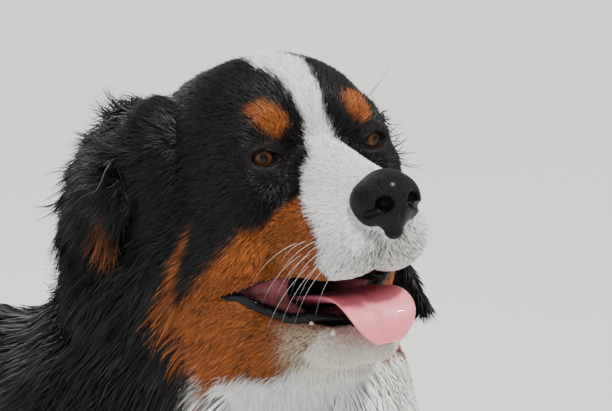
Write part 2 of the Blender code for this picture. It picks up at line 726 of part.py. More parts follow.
def lid_ring(side):
    """The rim of both lids, as a tube along an almond on the eyeball."""
    out = math.radians(GAZE_OUT)
    gaze = np.array((side * math.sin(out), math.cos(out), 0.0))
    across = np.array((side * math.cos(out), -math.sin(out), 0.0))
    up = np.array((0.0, 0.0, 1.0))
    radius = EYEBALL_RADIUS / CM + 0.05
    rings = []
    steps = 16
    for i in range(steps):
        turn = 2 * math.pi * i / steps
        right = LID_HALF_WIDTH * math.cos(turn)
        high = LID_HALF_HEIGHT * math.sin(turn) + 0.10 * right
        deep = math.sqrt(radius**2 - right**2 - high**2)
        spot = across * right + up * high + gaze * deep
        normal = spot / np.linalg.norm(spot)
        outer = across * math.cos(turn) + up * math.sin(turn)
        outer = outer - normal * (outer @ normal)
        outer = outer / np.linalg.norm(outer)
        ring = []
        for k in range(6):
            angle = 2 * math.pi * k / 6
            lift = outer * (1.6 * math.cos(angle) + 0.9) + normal * math.sin(angle)
            ring.append(spot + lift * LID_THICKNESS)
        rings.append(from_head(np.array(ring) + EYE_PLACE * np.array((side, 1, 1))))
    rings = np.array(rings)
    around = rings.shape[1]
    faces = []
    for i in range(steps):
        for j in range(around):
            a, b = i * around + j, i * around + (j + 1) % around
            c, d = (a + around) % (steps * around), (b + around) % (steps * around)
            faces += [(a, c, d), (a, d, b)]
    points = rings.reshape(-1, 3)
    return add_object("lid_ring", points, outward(points - points.mean(0), faces))


def nose_form(points):
    """The nose leather: its domes and its foot, with nostrils, their slits and the groove carved in."""
    q = to_head(points)
    mirrored = folded(q, 0.12)
    form = ball(mirrored, (0, 9.4, -3.45), (2.35, 2.25, 2.2))
    form = blend(form, ball(mirrored, (1.6, 9.2, -3.8), (1.15, 1.85, 1.7)), 0.5)
    form = blend(form, limb(mirrored, (0, 9.9, -4.5), (0, 10.0, -5.9), 1.5, 0.75), 0.6)
    form = carve(form, ball(mirrored, (1.28, 11.35, -3.75), (0.70, 1.0, 0.64)), 0.25)
    form = carve(form, limb(mirrored, (1.55, 11.1, -4.15), (2.85, 9.8, -4.6), 0.34, 0.24), 0.2)
    return carve(form, limb(mirrored, (0, 11.75, -4.0), (0, 10.75, -6.7), 0.20, 0.20), 0.15) * CM


def make_nose():
    """The leather's mesh on a grid of its own, finer than the head's."""
    middle = from_head((0, 9.1, -3.6))
    nose = add_object("nose", *grid_mesh(nose_form, middle - NOSE_REACH, middle + NOSE_REACH, NOSE_CELL))
    return thinned(nose, NOSE_TRIANGLES)


TONGUE_MIDDLE = ((-4.5, -12.4), (-1.0, -11.8), (2.5, -11.5), (5.2, -11.6), (6.9, -12.8), (7.2, -14.8))
TONGUE_HALF_WIDTHS = (1.9, 2.5, 2.9, 3.15, 2.9, 1.5)


def make_tongue():
    """A flat slab along the middle of the mouth, over the lower lip and down, grooved on top."""
    rings = []
    count, around = 14, 12
    for i in range(count):
        share = i / (count - 1)
        forward, up = smooth_curve(TONGUE_MIDDLE, share)
        after, before = min(1, share + 0.02), max(0, share - 0.02)
        ahead = unit(smooth_curve(TONGUE_MIDDLE, after) - smooth_curve(TONGUE_MIDDLE, before))
        rise = np.array((-ahead[1], ahead[0]))
        width = smooth_curve(np.array(TONGUE_HALF_WIDTHS)[:, None], share)[0]
        thick = 0.42 - 0.14 * share
        ring = []
        for k in range(around):
            turn = 2 * math.pi * k / around
            left = width * math.cos(turn)
            height = thick * math.sin(turn) + 0.35 * (left / width) ** 2
            ring.append((left, forward + rise[0] * height, up + rise[1] * height))
        rings.append(from_head(ring))
    return swept("tongue", rings)


EAR_MIDDLE = (
    (-6.4, -10.0, 2.7),
    (-9.4, -13.3, 2.0),
    (-11.5, -14.8, -1.4),
    (-12.8, -17.0, -6.2),
    (-13.8, -17.6, -11.6),
)
EAR_HALF_WIDTHS = (3.2, 4.6, 5.0, 3.8, 1.5)
EAR_TOP, LEFT_SWING, LEFT_DROP = 3.0, 0.0357, 0.22
EAR_THICKNESS = 1.1
EAR_LOCKS, EAR_LOCK_REACH, EAR_SEED = 5, 4.6, 7
EAR_LOCK_WIDTH, EAR_LOCK_DEPTH = 0.036, 0.008


def ear_places(places, side):
    """Places of the right ear as they are, or mirrored to the left, where the flap hangs lower and
    farther forward, because the head leans."""
    if side < 0:
        return places
    below = np.maximum(EAR_TOP - places[..., 2], 0)
    moved_on = np.stack([below * 0, LEFT_SWING * below**2, -LEFT_DROP * below], -1)
    return places * np.array((-1, 1, 1)) + moved_on


def make_ear(side):
    """The flap, as a closed flat tube from its root in the skull to its round tip, cupped round the jowl."""
    count, around = 10, 12
    turn = 2 * math.pi * np.arange(around) / around
    rings = []
    for i in range(count):
        along = i / (count - 1)
        middle = smooth_curve(EAR_MIDDLE, along)
        after, before = min(1, along + 0.05), max(0, along - 0.05)
        ahead = unit(smooth_curve(EAR_MIDDLE, after) - smooth_curve(EAR_MIDDLE, before))
        back = np.array((0, -1, 0.1)) - ahead * (ahead @ np.array((0, -1, 0.1)))
        back = back / np.linalg.norm(back)
        face = np.cross(ahead, back)
        width = smooth_curve(np.array(EAR_HALF_WIDTHS)[:, None], along)[0]
        thick = EAR_THICKNESS / 2 * (1.0 - 0.35 * along)
        across = np.cos(turn)[:, None]
        cup = np.array((0.9, 0, 0)) * across**2 * (1 - 0.6 * along)
        ring = middle + cup + back * across * width + face * np.sin(turn)[:, None] * thick
        rings.append(from_head(ear_places(ring, side)))
    return swept(named("ear", side), rings)


def ear_locks(side):
    """The ear's fringe: wavy locks along its back edge and its foot."""
    rng = np.random.default_rng(SEED + EAR_SEED)
    locks = []
    for k in range(EAR_LOCKS):
        along = 0.22 + 0.16 * k
        middle = smooth_curve(EAR_MIDDLE, along)
        width = smooth_curve(np.array(EAR_HALF_WIDTHS)[:, None], along)[0]
        start = middle + np.array((0.0, -width * 0.62, 0.3))
        heading = unit(np.array((-0.25 - 0.1 * rng.random(), -0.9 + 0.16 * k, -0.35 - 0.16 * k)))
        shares = LOCK_SHARES[:, None]
        path = start + heading * shares * EAR_LOCK_REACH + np.array((0, 0, -1.6)) * shares**2
        ups = np.tile(np.array((-1.0, 0.0, 0.2)), (len(path), 1))
        ups = (ups * np.array((-side, 1, 1)) * FORWARD_FLIP) @ HEAD_AXES.T
        locks.append(lock(from_head(ear_places(path, side)), ups, EAR_LOCK_WIDTH, EAR_LOCK_DEPTH))
    return locks


# Claws and teeth


def spike(base, tip, radius, sides=5, bend=(0, 0, 0)):
    """A small bent cone from its base to its tip."""
    base, tip, bend = np.array(base), np.array(tip), np.array(bend)
    along = tip - base
    flat = abs(along[2]) < 0.8 * np.linalg.norm(along)
    helper = np.array((0.0, 0.0, 1.0)) if flat else np.array((1.0, 0.0, 0.0))
    right = np.cross(along, helper)
    right = right / np.linalg.norm(right)
    high = np.cross(right, along)
    high = high / np.linalg.norm(high)
    rings = []
    for share, width in ((0.0, 1.0), (0.5, 0.8), (1.0, 0.22)):
        middle = base + along * share + bend * 4 * share * (1 - share)
        turn = 2 * math.pi * np.arange(sides)[:, None] / sides
        rings.append(middle + radius * width * (right * np.cos(turn) + high * np.sin(turn)))
    return swept("spike", rings)


def paw_claws(side, paw, width):
    """Four claws, each from the end of its toe, forward and down to just above the floor."""
    x, y = paw
    claws = []
    for toe in TOES:
        reach = toe_reach(toe)
        tip_x = side * (x + toe * width * 0.46)
        base = (tip_x, y - reach - 0.012, 0.021)
        tip = (tip_x, y - reach - 0.034, 0.0045)
        claws.append(spike(base, tip, 0.0048, bend=(0, -0.001, 0.003)))
    return claws


def jaw_teeth():
    """The lower canines and three cheek teeth on each side."""
    teeth = []
    for side in (-1, 1):
        teeth.append(spike(from_head((side * 2.3, 3.2, -14.8)), from_head((side * 2.4, 3.5, -13.6)), 0.0040))
        for place in (1.4, 0.1, -1.2):
            base = from_head((side * 3.0, place, -14.0 + 0.33 * (1.4 - place)))
            tip = from_head((side * 3.1, place, -12.75 + 0.33 * (1.4 - place)))
            teeth.append(spike(base, tip, 0.0040))
    return teeth


# Materials: a colour and a roughness for each kind of part

FINISHES = {
    "head": (BLACK_COAT, 0.60),
    "jaw": (WHITE_COAT, 0.60),
    "neck": (BLACK_COAT, 0.55),
    "torso": (BLACK_COAT, 0.55),
    "tail": (BLACK_COAT, 0.55),
    "ear": (BLACK_COAT, 0.50),
    "foreleg": (RUST_COAT, 0.60),
    "thigh": (BLACK_COAT, 0.55),
    "shank": (RUST_COAT, 0.60),
    "forepaw": (WHITE_COAT, 0.65),
    "hindpaw": (WHITE_COAT, 0.65),
    "nose": (NOSE_BLACK, 0.35),
    "tongue": (TONGUE_PINK, 0.40),
    "eye": (EYE_BROWN, 0.10),
}


def finished(part):
    """The part with a material of its own and smooth shading."""
    colour, roughness = FINISHES[part.name.split("_")[0]]
    made = bpy.data.materials.new(part.name)
    made.use_nodes = True
    shader = made.node_tree.nodes["Principled BSDF"]
    shader.inputs["Base Color"].default_value = (*colour, 1.0)
    shader.inputs["Roughness"].default_value = roughness
    shader.inputs["Metallic"].default_value = 0.0
    part.data.materials.clear()
    part.data.materials.append(made)
    part.data.shade_smooth()
    return part


# The parts: for each core the box to mesh, the grid's cell and the triangles to thin it to

CORES = {
    "neck": ((-0.22, -0.5, 0.4), (0.2, 0.0, 0.98), BODY_CELL, 500),
    "torso": ((-0.24, -0.48, 0.25), (0.24, 0.45, 0.75), BODY_CELL, 700),
    "tail": ((-0.12, 0.30, 0.08), (0.12, 0.58, 0.68), BODY_CELL, 260),
    "head": ((-0.28, -0.58, 0.62), (0.18, -0.14, 1.02), HEAD_CELL, 1950),
    "jaw": ((-0.28, -0.58, 0.62), (0.18, -0.14, 1.02), HEAD_CELL, 1900),
    "foreleg": ((-0.03, -0.36, 0.03), (0.24, 0.02, 0.5), 0.008, 340),
    "thigh": ((-0.03, 0.06, 0.16), (0.24, 0.44, 0.62), 0.009, 460),
    "shank": ((-0.03, 0.08, 0.03), (0.24, 0.44, 0.36), 0.007, 300),
    "forepaw": ((0.018, -0.322, -0.03), (0.158, -0.142, 0.11), 0.004, 240),
    "hindpaw": ((0.026, 0.198, -0.03), (0.166, 0.378, 0.11), 0.004, 240),
}

# For each kind of lock: how many, their length, width and depth, their droop and their seed

LOCKS = {
    "neck": (27, 0.140, 0.066, 0.011, 0.3, 1),
    "torso": (40, 0.175, 0.080, 0.011, 0.3, 2),
    "tail": (17, 0.125, 0.060, 0.011, 0.3, 13),
    "foreleg": (5, 0.085, 0.040, 0.009, 0.5, 4),
    "thigh": (6, 0.125, 0.062, 0.010, 0.3, 5),
    "head": (10, 0.070, 0.038, 0.007, 0.3, 6),
}
TRUNK_MARGIN, LEG_MARGIN = 0.012, 0.008


def make_core(kind, side=None):
    """The core's mesh in its box, thinned; the box of a leg or a paw is mirrored for the right."""
    low, high, cell, triangles = CORES[kind]
    name = kind
    if side is not None:
        x_low, x_high = sorted((side * low[0], side * high[0]))
        low, high = (x_low, *low[1:]), (x_high, *high[1:])
        name = named(kind, side)
    return largest_surface(thinned(add_object(name, *grid_mesh(core_form, low, high, cell)), triangles))


def make_trunk():
    """The neck, the torso and the tail, each with its own locks."""
    neck_cuts = [neck_cut(1), head_cut(-1)]
    neck = make_core("neck")
    add_locks(neck, "neck", lambda p: before_cuts(p, neck_cuts, TRUNK_MARGIN))
    trimmed(neck, neck_cuts)
    torso_cuts = [neck_cut(-1), tail_cut(-1)]
    legs = [foreleg_cuts(1), foreleg_cuts(-1), hindleg_cuts(1), hindleg_cuts(-1)]
    torso = make_core("torso")

    def on_torso(points):
        kept = before_cuts(points, torso_cuts, TRUNK_MARGIN)
        for cuts in legs:
            kept &= ~before_cuts(points, cuts, -TRUNK_MARGIN)
        return kept

    add_locks(torso, "torso", on_torso)
    trimmed(torso, torso_cuts)
    joined(torso, "DIFFERENCE", [wedge(cuts) for cuts in legs])
    tail = make_core("tail")
    add_locks(tail, "tail", lambda p: before_cuts(p, [tail_cut(1)], 0.010))
    trimmed(tail, [tail_cut(1)])
    return [neck, torso, tail]


def make_leg(side):
    """Foreleg, thigh and shank of one side; the feathering is on the back of the first two."""
    fore_cuts = foreleg_cuts(side) + [paw_cut(1)]
    fore = make_core("foreleg", side)

    def behind_foreleg(points):
        elbow = (points[:, 1] > -0.15) & (points[:, 2] > 0.17) & (points[:, 2] < 0.36)
        return elbow & before_cuts(points, fore_cuts, LEG_MARGIN)

    add_locks(fore, "foreleg", behind_foreleg)
    trimmed(fore, fore_cuts)
    thigh_cuts = hindleg_cuts(side) + [shank_cut(-1)]
    thigh = make_core("thigh", side)

    def outer_thigh(points):
        return (np.abs(points[:, 0]) > 0.05) & before_cuts(points, thigh_cuts, 0.010)

    add_locks(thigh, "thigh", outer_thigh)
    trimmed(thigh, thigh_cuts)
    shank = make_core("shank", side)
    trimmed(shank, hindleg_cuts(side) + [shank_cut(1), paw_cut(1)])
    return [fore, thigh, shank]


def make_paws(side):
    """The fore and the hind paw of one side, cut flat at the floor, with their claws."""
    paws = []
    for kind, paw, width in (("forepaw", FORE_PAW, FORE_PAW_WIDTH), ("hindpaw", HIND_PAW, HIND_PAW_WIDTH)):
        foot = make_core(kind, side)
        trimmed(foot, [paw_cut(-1), ((0, 0, 0), (0, 0, 1))])
        paws.append(joined(foot, "UNION", paw_claws(side, paw, width)))
    return paws


def make_head(neck):
    """The head and all that sits in it; the neck is cut clear of the ears."""
    head, jaw = make_core("head"), make_core("jaw")

    def on_jowl(points):
        place = to_head(points)
        low_cheek = (place[:, 1] < -5.0) & (place[:, 2] < -3.5) & (np.abs(place[:, 0]) > 2.5)
        return low_cheek & before_cuts(points, [head_cut(1)], LEG_MARGIN)

    add_locks(head, "head", on_jowl)
    trimmed(head, [head_cut(1)])
    joined(head, "DIFFERENCE", [trimmed(block((0, 0, 1.4), (0, 0, 1)), moved(jaw_cuts(), -GAP / 2))])
    trimmed(jaw, [head_cut(1)] + moved(jaw_cuts(), GAP / 2))
    nose = make_nose()
    tongue = make_tongue()
    joined(head, "UNION", [lid_ring(-1), lid_ring(1)])
    joined(jaw, "UNION", jaw_teeth())
    parts = [head, jaw, nose, tongue]
    for side in (1, -1):
        eye, ear, fringe = make_eye(side), make_ear(side), ear_locks(side)
        joined(head, "DIFFERENCE", [inflated(eye), inflated(ear)] + [inflated(piece) for piece in fringe])
        joined(neck, "DIFFERENCE", [inflated(ear)] + [inflated(piece) for piece in fringe])
        joined(ear, "UNION", fringe)
        parts += [eye, ear]
    joined(head, "DIFFERENCE", [inflated(nose), inflated(tongue)])
    joined(jaw, "DIFFERENCE", [inflated(tongue)])
    return parts


def stand_on_origin(parts):
    """All parts moved as one, so that the middle of the bottom of their box is the origin."""
    corners = np.array([vertex.co[:] for part in parts for vertex in part.data.vertices])
    low, high = corners.min(0), corners.max(0)
    shift = mathutils.Vector((-(low[0] + high[0]) / 2, -(low[1] + high[1]) / 2, -low[2]))
    for part in parts:
        part.data.transform(mathutils.Matrix.Translation(shift))
        part.data.update()


def main():
    for old in list(bpy.data.objects):
        bpy.data.objects.remove(old)
    parts = make_trunk()
    parts += make_head(parts[0])
    for side in (1, -1):
        parts += make_leg(side) + make_paws(side)
    parts = [largest_surface(part) for part in parts]
    stand_on_origin(parts)
    for part in parts:
        finished(part)


main()
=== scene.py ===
import json
import math

import bpy
import numpy as np
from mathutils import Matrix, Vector

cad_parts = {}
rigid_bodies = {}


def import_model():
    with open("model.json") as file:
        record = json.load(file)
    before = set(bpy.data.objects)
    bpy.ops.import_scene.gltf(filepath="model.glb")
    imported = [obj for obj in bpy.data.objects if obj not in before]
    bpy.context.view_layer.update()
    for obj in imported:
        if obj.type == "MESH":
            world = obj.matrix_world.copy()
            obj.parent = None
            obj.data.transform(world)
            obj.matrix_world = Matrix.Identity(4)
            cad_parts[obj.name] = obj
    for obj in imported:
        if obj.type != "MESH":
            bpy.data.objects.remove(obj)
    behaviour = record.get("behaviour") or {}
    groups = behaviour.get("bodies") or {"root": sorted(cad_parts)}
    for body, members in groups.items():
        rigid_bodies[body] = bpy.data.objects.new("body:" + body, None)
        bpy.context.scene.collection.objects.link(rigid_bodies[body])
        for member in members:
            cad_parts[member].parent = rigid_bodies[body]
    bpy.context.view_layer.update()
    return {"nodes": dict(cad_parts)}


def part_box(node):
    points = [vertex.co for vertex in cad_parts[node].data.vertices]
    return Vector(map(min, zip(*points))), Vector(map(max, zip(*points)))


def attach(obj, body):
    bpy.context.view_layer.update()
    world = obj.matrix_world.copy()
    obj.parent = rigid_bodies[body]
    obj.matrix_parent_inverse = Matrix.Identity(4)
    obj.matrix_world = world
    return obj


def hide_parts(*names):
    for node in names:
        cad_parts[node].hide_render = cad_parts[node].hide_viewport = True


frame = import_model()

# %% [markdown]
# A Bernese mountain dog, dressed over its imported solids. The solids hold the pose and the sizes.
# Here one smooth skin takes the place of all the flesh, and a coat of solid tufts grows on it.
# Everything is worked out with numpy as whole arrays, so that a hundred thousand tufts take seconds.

CM = 0.01

# %% [markdown]
# The head has a frame of its own, because the dog looks to its right and a little up. Its numbers are
# centimetres to the left, forward and up from between the eyes. The solids were made in the same frame
# and then moved so that their box stands on the origin, so the left eye tells how far they moved.

# %% The head's frame
EYES_MIDDLE = np.array((-0.050, -0.385, 0.872))
HEAD_TURN, HEAD_LIFT, HEAD_TILT = 24.0, 8.0, 2.5
EYE_PLACE = (4.7, -0.75, 0.0)
FORWARD_FLIP = np.array((1.0, -1.0, 1.0))


def turned(axis, degrees):
    """The matrix that turns a point about one axis."""
    c, s = math.cos(math.radians(degrees)), math.sin(math.radians(degrees))
    rows = {
        "x": [[1, 0, 0], [0, c, -s], [0, s, c]],
        "y": [[c, 0, s], [0, 1, 0], [-s, 0, c]],
        "z": [[c, -s, 0], [s, c, 0], [0, 0, 1]],
    }
    return np.array(rows[axis])


HEAD_AXES = turned("z", -HEAD_TURN) @ turned("x", -HEAD_LIFT) @ turned("y", -HEAD_TILT)


def to_head(points):
    """Body metres to head centimetres: take off the middle of the eyes, turn, flip forward."""
    return ((points - EYES_MIDDLE) @ HEAD_AXES * FORWARD_FLIP / CM).astype(np.float32)


def from_head(places):
    """Head centimetres back to body metres."""
    return EYES_MIDDLE + (np.asarray(places, float) * CM * FORWARD_FLIP) @ HEAD_AXES.T


def head_way(ways):
    """A direction in the head's frame as one in the body's frame."""
    return (np.asarray(ways, float) * FORWARD_FLIP) @ HEAD_AXES.T


eye_low, eye_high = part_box("eye_left")
SHIFT = np.array((eye_low + eye_high) / 2) - from_head(EYE_PLACE)
print("the solids moved by", SHIFT.round(4))

# %% [markdown]
# Flesh has no edges, so the body is one distance function: ellipsoids and round cones that flow into
# each other. Below zero is inside. Box modelling or sculpting could make it too, but a function gives
# the same surface to the skin, to the height of the coat and to the way straight out of the skin.

# %% Distance functions


def ball(points, centre, radii):
    """Distance to an ellipsoid, near enough: r(r-1) over the slope of r, where r is the scaled radius."""
    radii = np.asarray(radii, np.float32)
    scaled = (points - np.asarray(centre, np.float32)) / radii
    size = np.sqrt((scaled * scaled).sum(-1))
    slope = scaled / radii
    return size * (size - 1) / np.maximum(np.sqrt((slope * slope).sum(-1)), 1e-6)


def limb(points, start, end, start_radius, end_radius):
    """Distance to a round rod: from the nearest place of its axis, less the radius there."""
    along = np.asarray(end, np.float32) - np.asarray(start, np.float32)
    away = points - np.asarray(start, np.float32)
    share = np.clip(away @ along / (along @ along), 0, 1)
    away = away - share[..., None] * along
    return np.sqrt((away * away).sum(-1)) - (start_radius + share * (end_radius - start_radius))


def blend(a, b, width):
    """The lower of two distances, rounded where they are within a width of each other."""
    share = np.clip(0.5 + 0.5 * (b - a) / width, 0, 1)
    return b + (a - b) * share - width * share * (1 - share)


def carve(a, b, width):
    """The first form without the second, with a rounded edge."""
    return -blend(-a, b, width)


def folded(points, softness):
    """Both sides laid over each other: x becomes the root of x squared plus a small square."""
    both = points.copy()
    both[..., 0] = np.sqrt(both[..., 0] ** 2 + softness**2)
    return both


def smooth_curve(knots, share):
    """A point at a share of the way along a cubic through the knots."""
    knots = np.asarray(knots, float)
    place = np.asarray(share) * (len(knots) - 1)
    i = np.clip(np.floor(place).astype(int), 0, len(knots) - 2)
    t = (place - i)[..., None]
    before, start = knots[np.maximum(i - 1, 0)], knots[i]
    end, after = knots[i + 1], knots[np.minimum(i + 2, len(knots) - 1)]
    pull = (end - before) * t + (2 * before - 5 * start + 4 * end - after) * t**2
    return start + 0.5 * (pull + (3 * (start - end) + after - before) * t**3)


def unit(ways):
    """Each direction with length one."""
    return ways / np.maximum(np.linalg.norm(ways, axis=-1, keepdims=True), 1e-9)


# %% [markdown]
# The head: a broad flat skull, brow ridges, cheeks, a deep square muzzle with full upper lips, and a
# lower jaw let down so that the tongue hangs out. The mouth is cut in last, and so are the sockets, so
# a point of the skin that lies deep below the closed head must be lip or mouth.

# %% The head
MOUTH_DEPTH = 1.8
MOUTH_CORNER = -3.2
MOUTH_RIM = 0.35
HEAD_FLOOR = 0.60


def lip_lines(forward):
    """Heights of the upper and the lower lip along the muzzle, as straight runs."""
    upper = np.interp(forward, (-4.0, -2.0, -0.4, 1.0, 3.0), (-10.4, -10.0, -9.2, -9.3, -9.7))
    lower = np.interp(forward, (-4.0, -2.0, -0.8, 0.2, 1.2, 8.0), (-10.6, -10.9, -12.2, -12.9, -13.1, -16.0))
    return upper.astype(np.float32), lower.astype(np.float32)


def closed_head(q):
    """The head with its mouth shut and no sockets; q is folded head centimetres."""
    form = ball(q, (0, -6.9, 0.9), (7.6, 7.1, 5.8))
    form = blend(form, ball(q, (3.3, -2.2, 1.6), (2.9, 2.7, 2.0)), 1.2)
    form = blend(form, ball(q, (5.0, -3.6, -2.4), (2.9, 4.6, 4.2)), 1.6)
    form = blend(form, ball(q, (4.4, -6.2, -8.0), (4.2, 5.4, 5.6)), 2.0)
    muzzle = limb(q, (0, 1.0, -2.6), (0, 8.0, -4.2), 2.9, 2.5)
    muzzle = blend(muzzle, ball(q, (2.3, 3.4, -6.4), (2.6, 5.8, 3.3)), 1.4)
    muzzle = blend(muzzle, ball(q, (1.5, 6.5, -6.4), (2.3, 2.4, 2.6)), 1.0)
    form = blend(form, muzzle, 1.3)
    jaw = limb(q, (3.2, -5.0, -12.8), (1.8, 3.0, -15.0), 2.4, 1.1)
    jaw = blend(jaw, ball(q, (0, 2.9, -15.1), (2.9, 2.3, 1.1)), 1.0)
    jaw = blend(jaw, ball(q, (0, -1.5, -14.2), (3.6, 4.5, 1.7)), 1.0)
    form = blend(form, jaw, 1.0)
    form = blend(form, ball(q, (0, -7.5, -10.5), (5.0, 6.5, 5.5)), 2.0)
    form = blend(form, ball(q, (7.2, -10.6, -0.2), (3.0, 3.4, 4.0)), 0.8)
    return blend(form, ball(q, (4.9, -0.75, 0.05), (1.75, 1.55, 1.35)), 0.6)


def mouth_opening(q):
    """Distance to the space between the lip lines, from the corner of the mouth forward."""
    upper, lower = lip_lines(q[..., 1])
    return np.maximum(np.maximum(q[..., 2] - upper, lower - q[..., 2]) * 0.85, MOUTH_CORNER - q[..., 1])


def head_form(points):
    """The head in metres with its mouth shut and a socket for each eye."""
    q = folded(to_head(points), 0.4)
    return carve(closed_head(q), ball(q, (5.0, 0.55, 0.0), (1.35, 1.1, 0.80)), 0.35) * CM


def mouth_form(points, closed):
    """The hollow of the open mouth in metres: the space between the lip lines and a ball behind them.
    At the back it is only MOUTH_DEPTH deep, because the cheek's flesh lies there."""
    q = folded(to_head(points), 0.4)
    depth = MOUTH_DEPTH + 3.0 * np.maximum(q[..., 1] - 1.5, 0)
    opening = np.maximum(mouth_opening(q), -closed / CM - depth)
    return blend(opening, ball(q, (0, 0.0, -11.0), (3.0, 7.5, 2.0)), 0.6) * CM


# %% [markdown]
# The ear is a soft flap that hangs from the side of the skull, cupped round the jowl. It is a flat
# band carried along a curve: at each place the band has a width backward and a thin depth outward.

# %% The ears
EAR_MIDDLE = (
    (-6.4, -10.0, 2.7), (-9.4, -13.3, 2.0), (-11.5, -14.8, -1.4), (-12.8, -17.0, -6.2), (-13.8, -17.6, -11.6),
)
EAR_HALF_WIDTHS = (3.2, 4.6, 5.0, 3.8, 1.5)
EAR_THICKNESS = 1.1
EAR_TOP, LEFT_SWING, LEFT_DROP = 3.0, 0.0357, 0.22
EAR_STEPS = 9


def ear_frame(share):
    """Middle, way ahead, way back, way out, half width and half depth of the flap at a share of it."""
    middle = smooth_curve(EAR_MIDDLE, share)
    after, before = np.minimum(1, share + 0.05), np.maximum(0, share - 0.05)
    ahead = unit(smooth_curve(EAR_MIDDLE, after) - smooth_curve(EAR_MIDDLE, before))
    back = np.array((0, -1, 0.1))
    back = unit(back - ahead * (ahead @ back)[..., None])
    width = smooth_curve(np.array(EAR_HALF_WIDTHS)[:, None], share)[..., 0]
    return middle, ahead, back, np.cross(ahead, back), width, EAR_THICKNESS / 2 * (1 - 0.35 * share)


def in_ear(places):
    """Head places seen from the right ear: the left one is mirrored, and it hangs lower and farther
    forward, because the head leans."""
    left = places[..., 0] > 0
    below = np.maximum(EAR_TOP - places[..., 2], 0) / (1 + LEFT_DROP * left)
    height = np.where(places[..., 2] < EAR_TOP, EAR_TOP - below, places[..., 2])
    return np.stack([-np.abs(places[..., 0]), places[..., 1] - LEFT_SWING * below**2 * left, height], -1)


def ear_form(points):
    """The least of the distances to the flap's short flat lengths, each a stretched round cone."""
    q = in_ear(to_head(points))
    shares = np.linspace(0, 1, EAR_STEPS)
    middle, ahead, back, out, width, deep = ear_frame(shares)
    form = np.full(q.shape[:-1], 50.0, np.float32)
    for i in range(EAR_STEPS - 1):
        along = middle[i + 1] - middle[i]
        away = q - middle[i].astype(np.float32)
        share = np.clip(away @ along / (along @ along), 0, 1)
        rest = away - share[..., None] * along
        half = width[i] + share * (width[i + 1] - width[i])
        across = (rest @ back[i]) / half
        cup = 0.9 * across**2 * (1 - 0.6 * shares[i])
        depth = (rest - cup[..., None] * np.array((1.0, 0, 0))) @ out[i] / deep[i]
        beyond = (rest @ ahead[i]) / (deep[i] * 1.5)
        size = np.sqrt(across**2 + depth**2 + beyond**2)
        slope = np.sqrt((across / half) ** 2 + (depth / deep[i]) ** 2 + (beyond / (deep[i] * 1.5)) ** 2)
        form = blend(form, size * (size - 1) / np.maximum(slope, 1e-6), 0.4)
    return form * CM


# %% [markdown]
# The nose is bare leather: two domes with a groove between, a comma-shaped nostril on each side that
# opens outward in a slit. Its domes alone are wanted too, to keep the fur clear of the nostrils.

# %% The nose


def nose_domes(points):
    """The leather without its holes, in metres: a ball, a wing on each side and a foot."""
    mirrored = folded(to_head(points), 0.12)
    form = ball(mirrored, (0, 9.4, -3.45), (2.35, 2.25, 2.2))
    form = blend(form, ball(mirrored, (1.6, 9.2, -3.8), (1.15, 1.85, 1.7)), 0.5)
    return blend(form, limb(mirrored, (0, 9.9, -4.5), (0, 10.0, -5.9), 1.5, 0.75), 0.6) * CM


def nose_form(points):
    """The leather with nostrils, their slits and the groove carved in."""
    mirrored = folded(to_head(points), 0.12)
    form = nose_domes(points) / CM
    form = carve(form, ball(mirrored, (1.28, 11.35, -3.75), (0.70, 1.0, 0.64)), 0.25)
    form = carve(form, limb(mirrored, (1.55, 11.1, -4.15), (2.85, 9.8, -4.6), 0.34, 0.24), 0.2)
    return carve(form, limb(mirrored, (0, 11.75, -4.0), (0, 10.75, -6.7), 0.20, 0.20), 0.15) * CM


# %% [markdown]
# Neck, trunk, legs, paws and tail, with the same sizes as the solids. Left and right are one form,
# because the points are folded over the middle of the body first.

# %% The body
WITHERS_HEIGHT = 0.650
FORE_PAW, HIND_PAW = (0.088, -0.222), (0.096, 0.298)
TAIL_PATH = ((0, 0.350, 0.590), (0, 0.425, 0.520), (0, 0.462, 0.40), (0, 0.468, 0.29), (0, 0.498, 0.19))
TAIL_RADII = (0.036, 0.032, 0.027, 0.023, 0.016)


def trunk_form(points):
    """Rib cage, belly, croup, spine, shoulders, breast and thighs."""
    q = folded(points, 0.010)
    form = ball(q, (0, -0.09, 0.500), (0.128, 0.26, 0.148))
    form = blend(form, ball(q, (0, 0.15, 0.515), (0.110, 0.22, 0.116)), 0.05)
    form = blend(form, ball(q, (0, 0.26, 0.540), (0.098, 0.118, 0.100)), 0.05)
    spine = WITHERS_HEIGHT - 0.060
    form = blend(form, limb(q, (0, -0.13, spine), (0, 0.26, spine - 0.015), 0.060, 0.068), 0.05)
    form = blend(form, ball(q, (0.085, -0.185, 0.475), (0.058, 0.095, 0.155)), 0.05)
    form = blend(form, ball(q, (0, -0.275, 0.475), (0.092, 0.070, 0.120)), 0.06)
    return blend(form, ball(q, (0.085, 0.250, 0.430), (0.062, 0.108, 0.150)), 0.05)


def neck_form(points):
    """The neck and the throat, as two tapered rods."""
    form = limb(points, (0, -0.175, 0.560), (-0.028, -0.285, 0.780), 0.110, 0.074)
    return blend(form, limb(points, (0.006, -0.300, 0.50), (-0.032, -0.338, 0.74), 0.118, 0.074), 0.05)


def paw_form(points, paw, width):
    """A paw: the pad's body and four toes side by side."""
    q = folded(points, 0.0005)
    x, y = paw
    form = ball(q, (x, y + 0.010, 0.030), (width, 0.046, 0.036))
    for side in (-1.5, -0.5, 0.5, 1.5):
        reach = 0.036 - 0.007 * abs(side)
        toe = ball(q, (x + side * width * 0.46, y - reach, 0.019), (width * 0.27, 0.024, 0.024))
        form = blend(form, toe, 0.006)
    return form


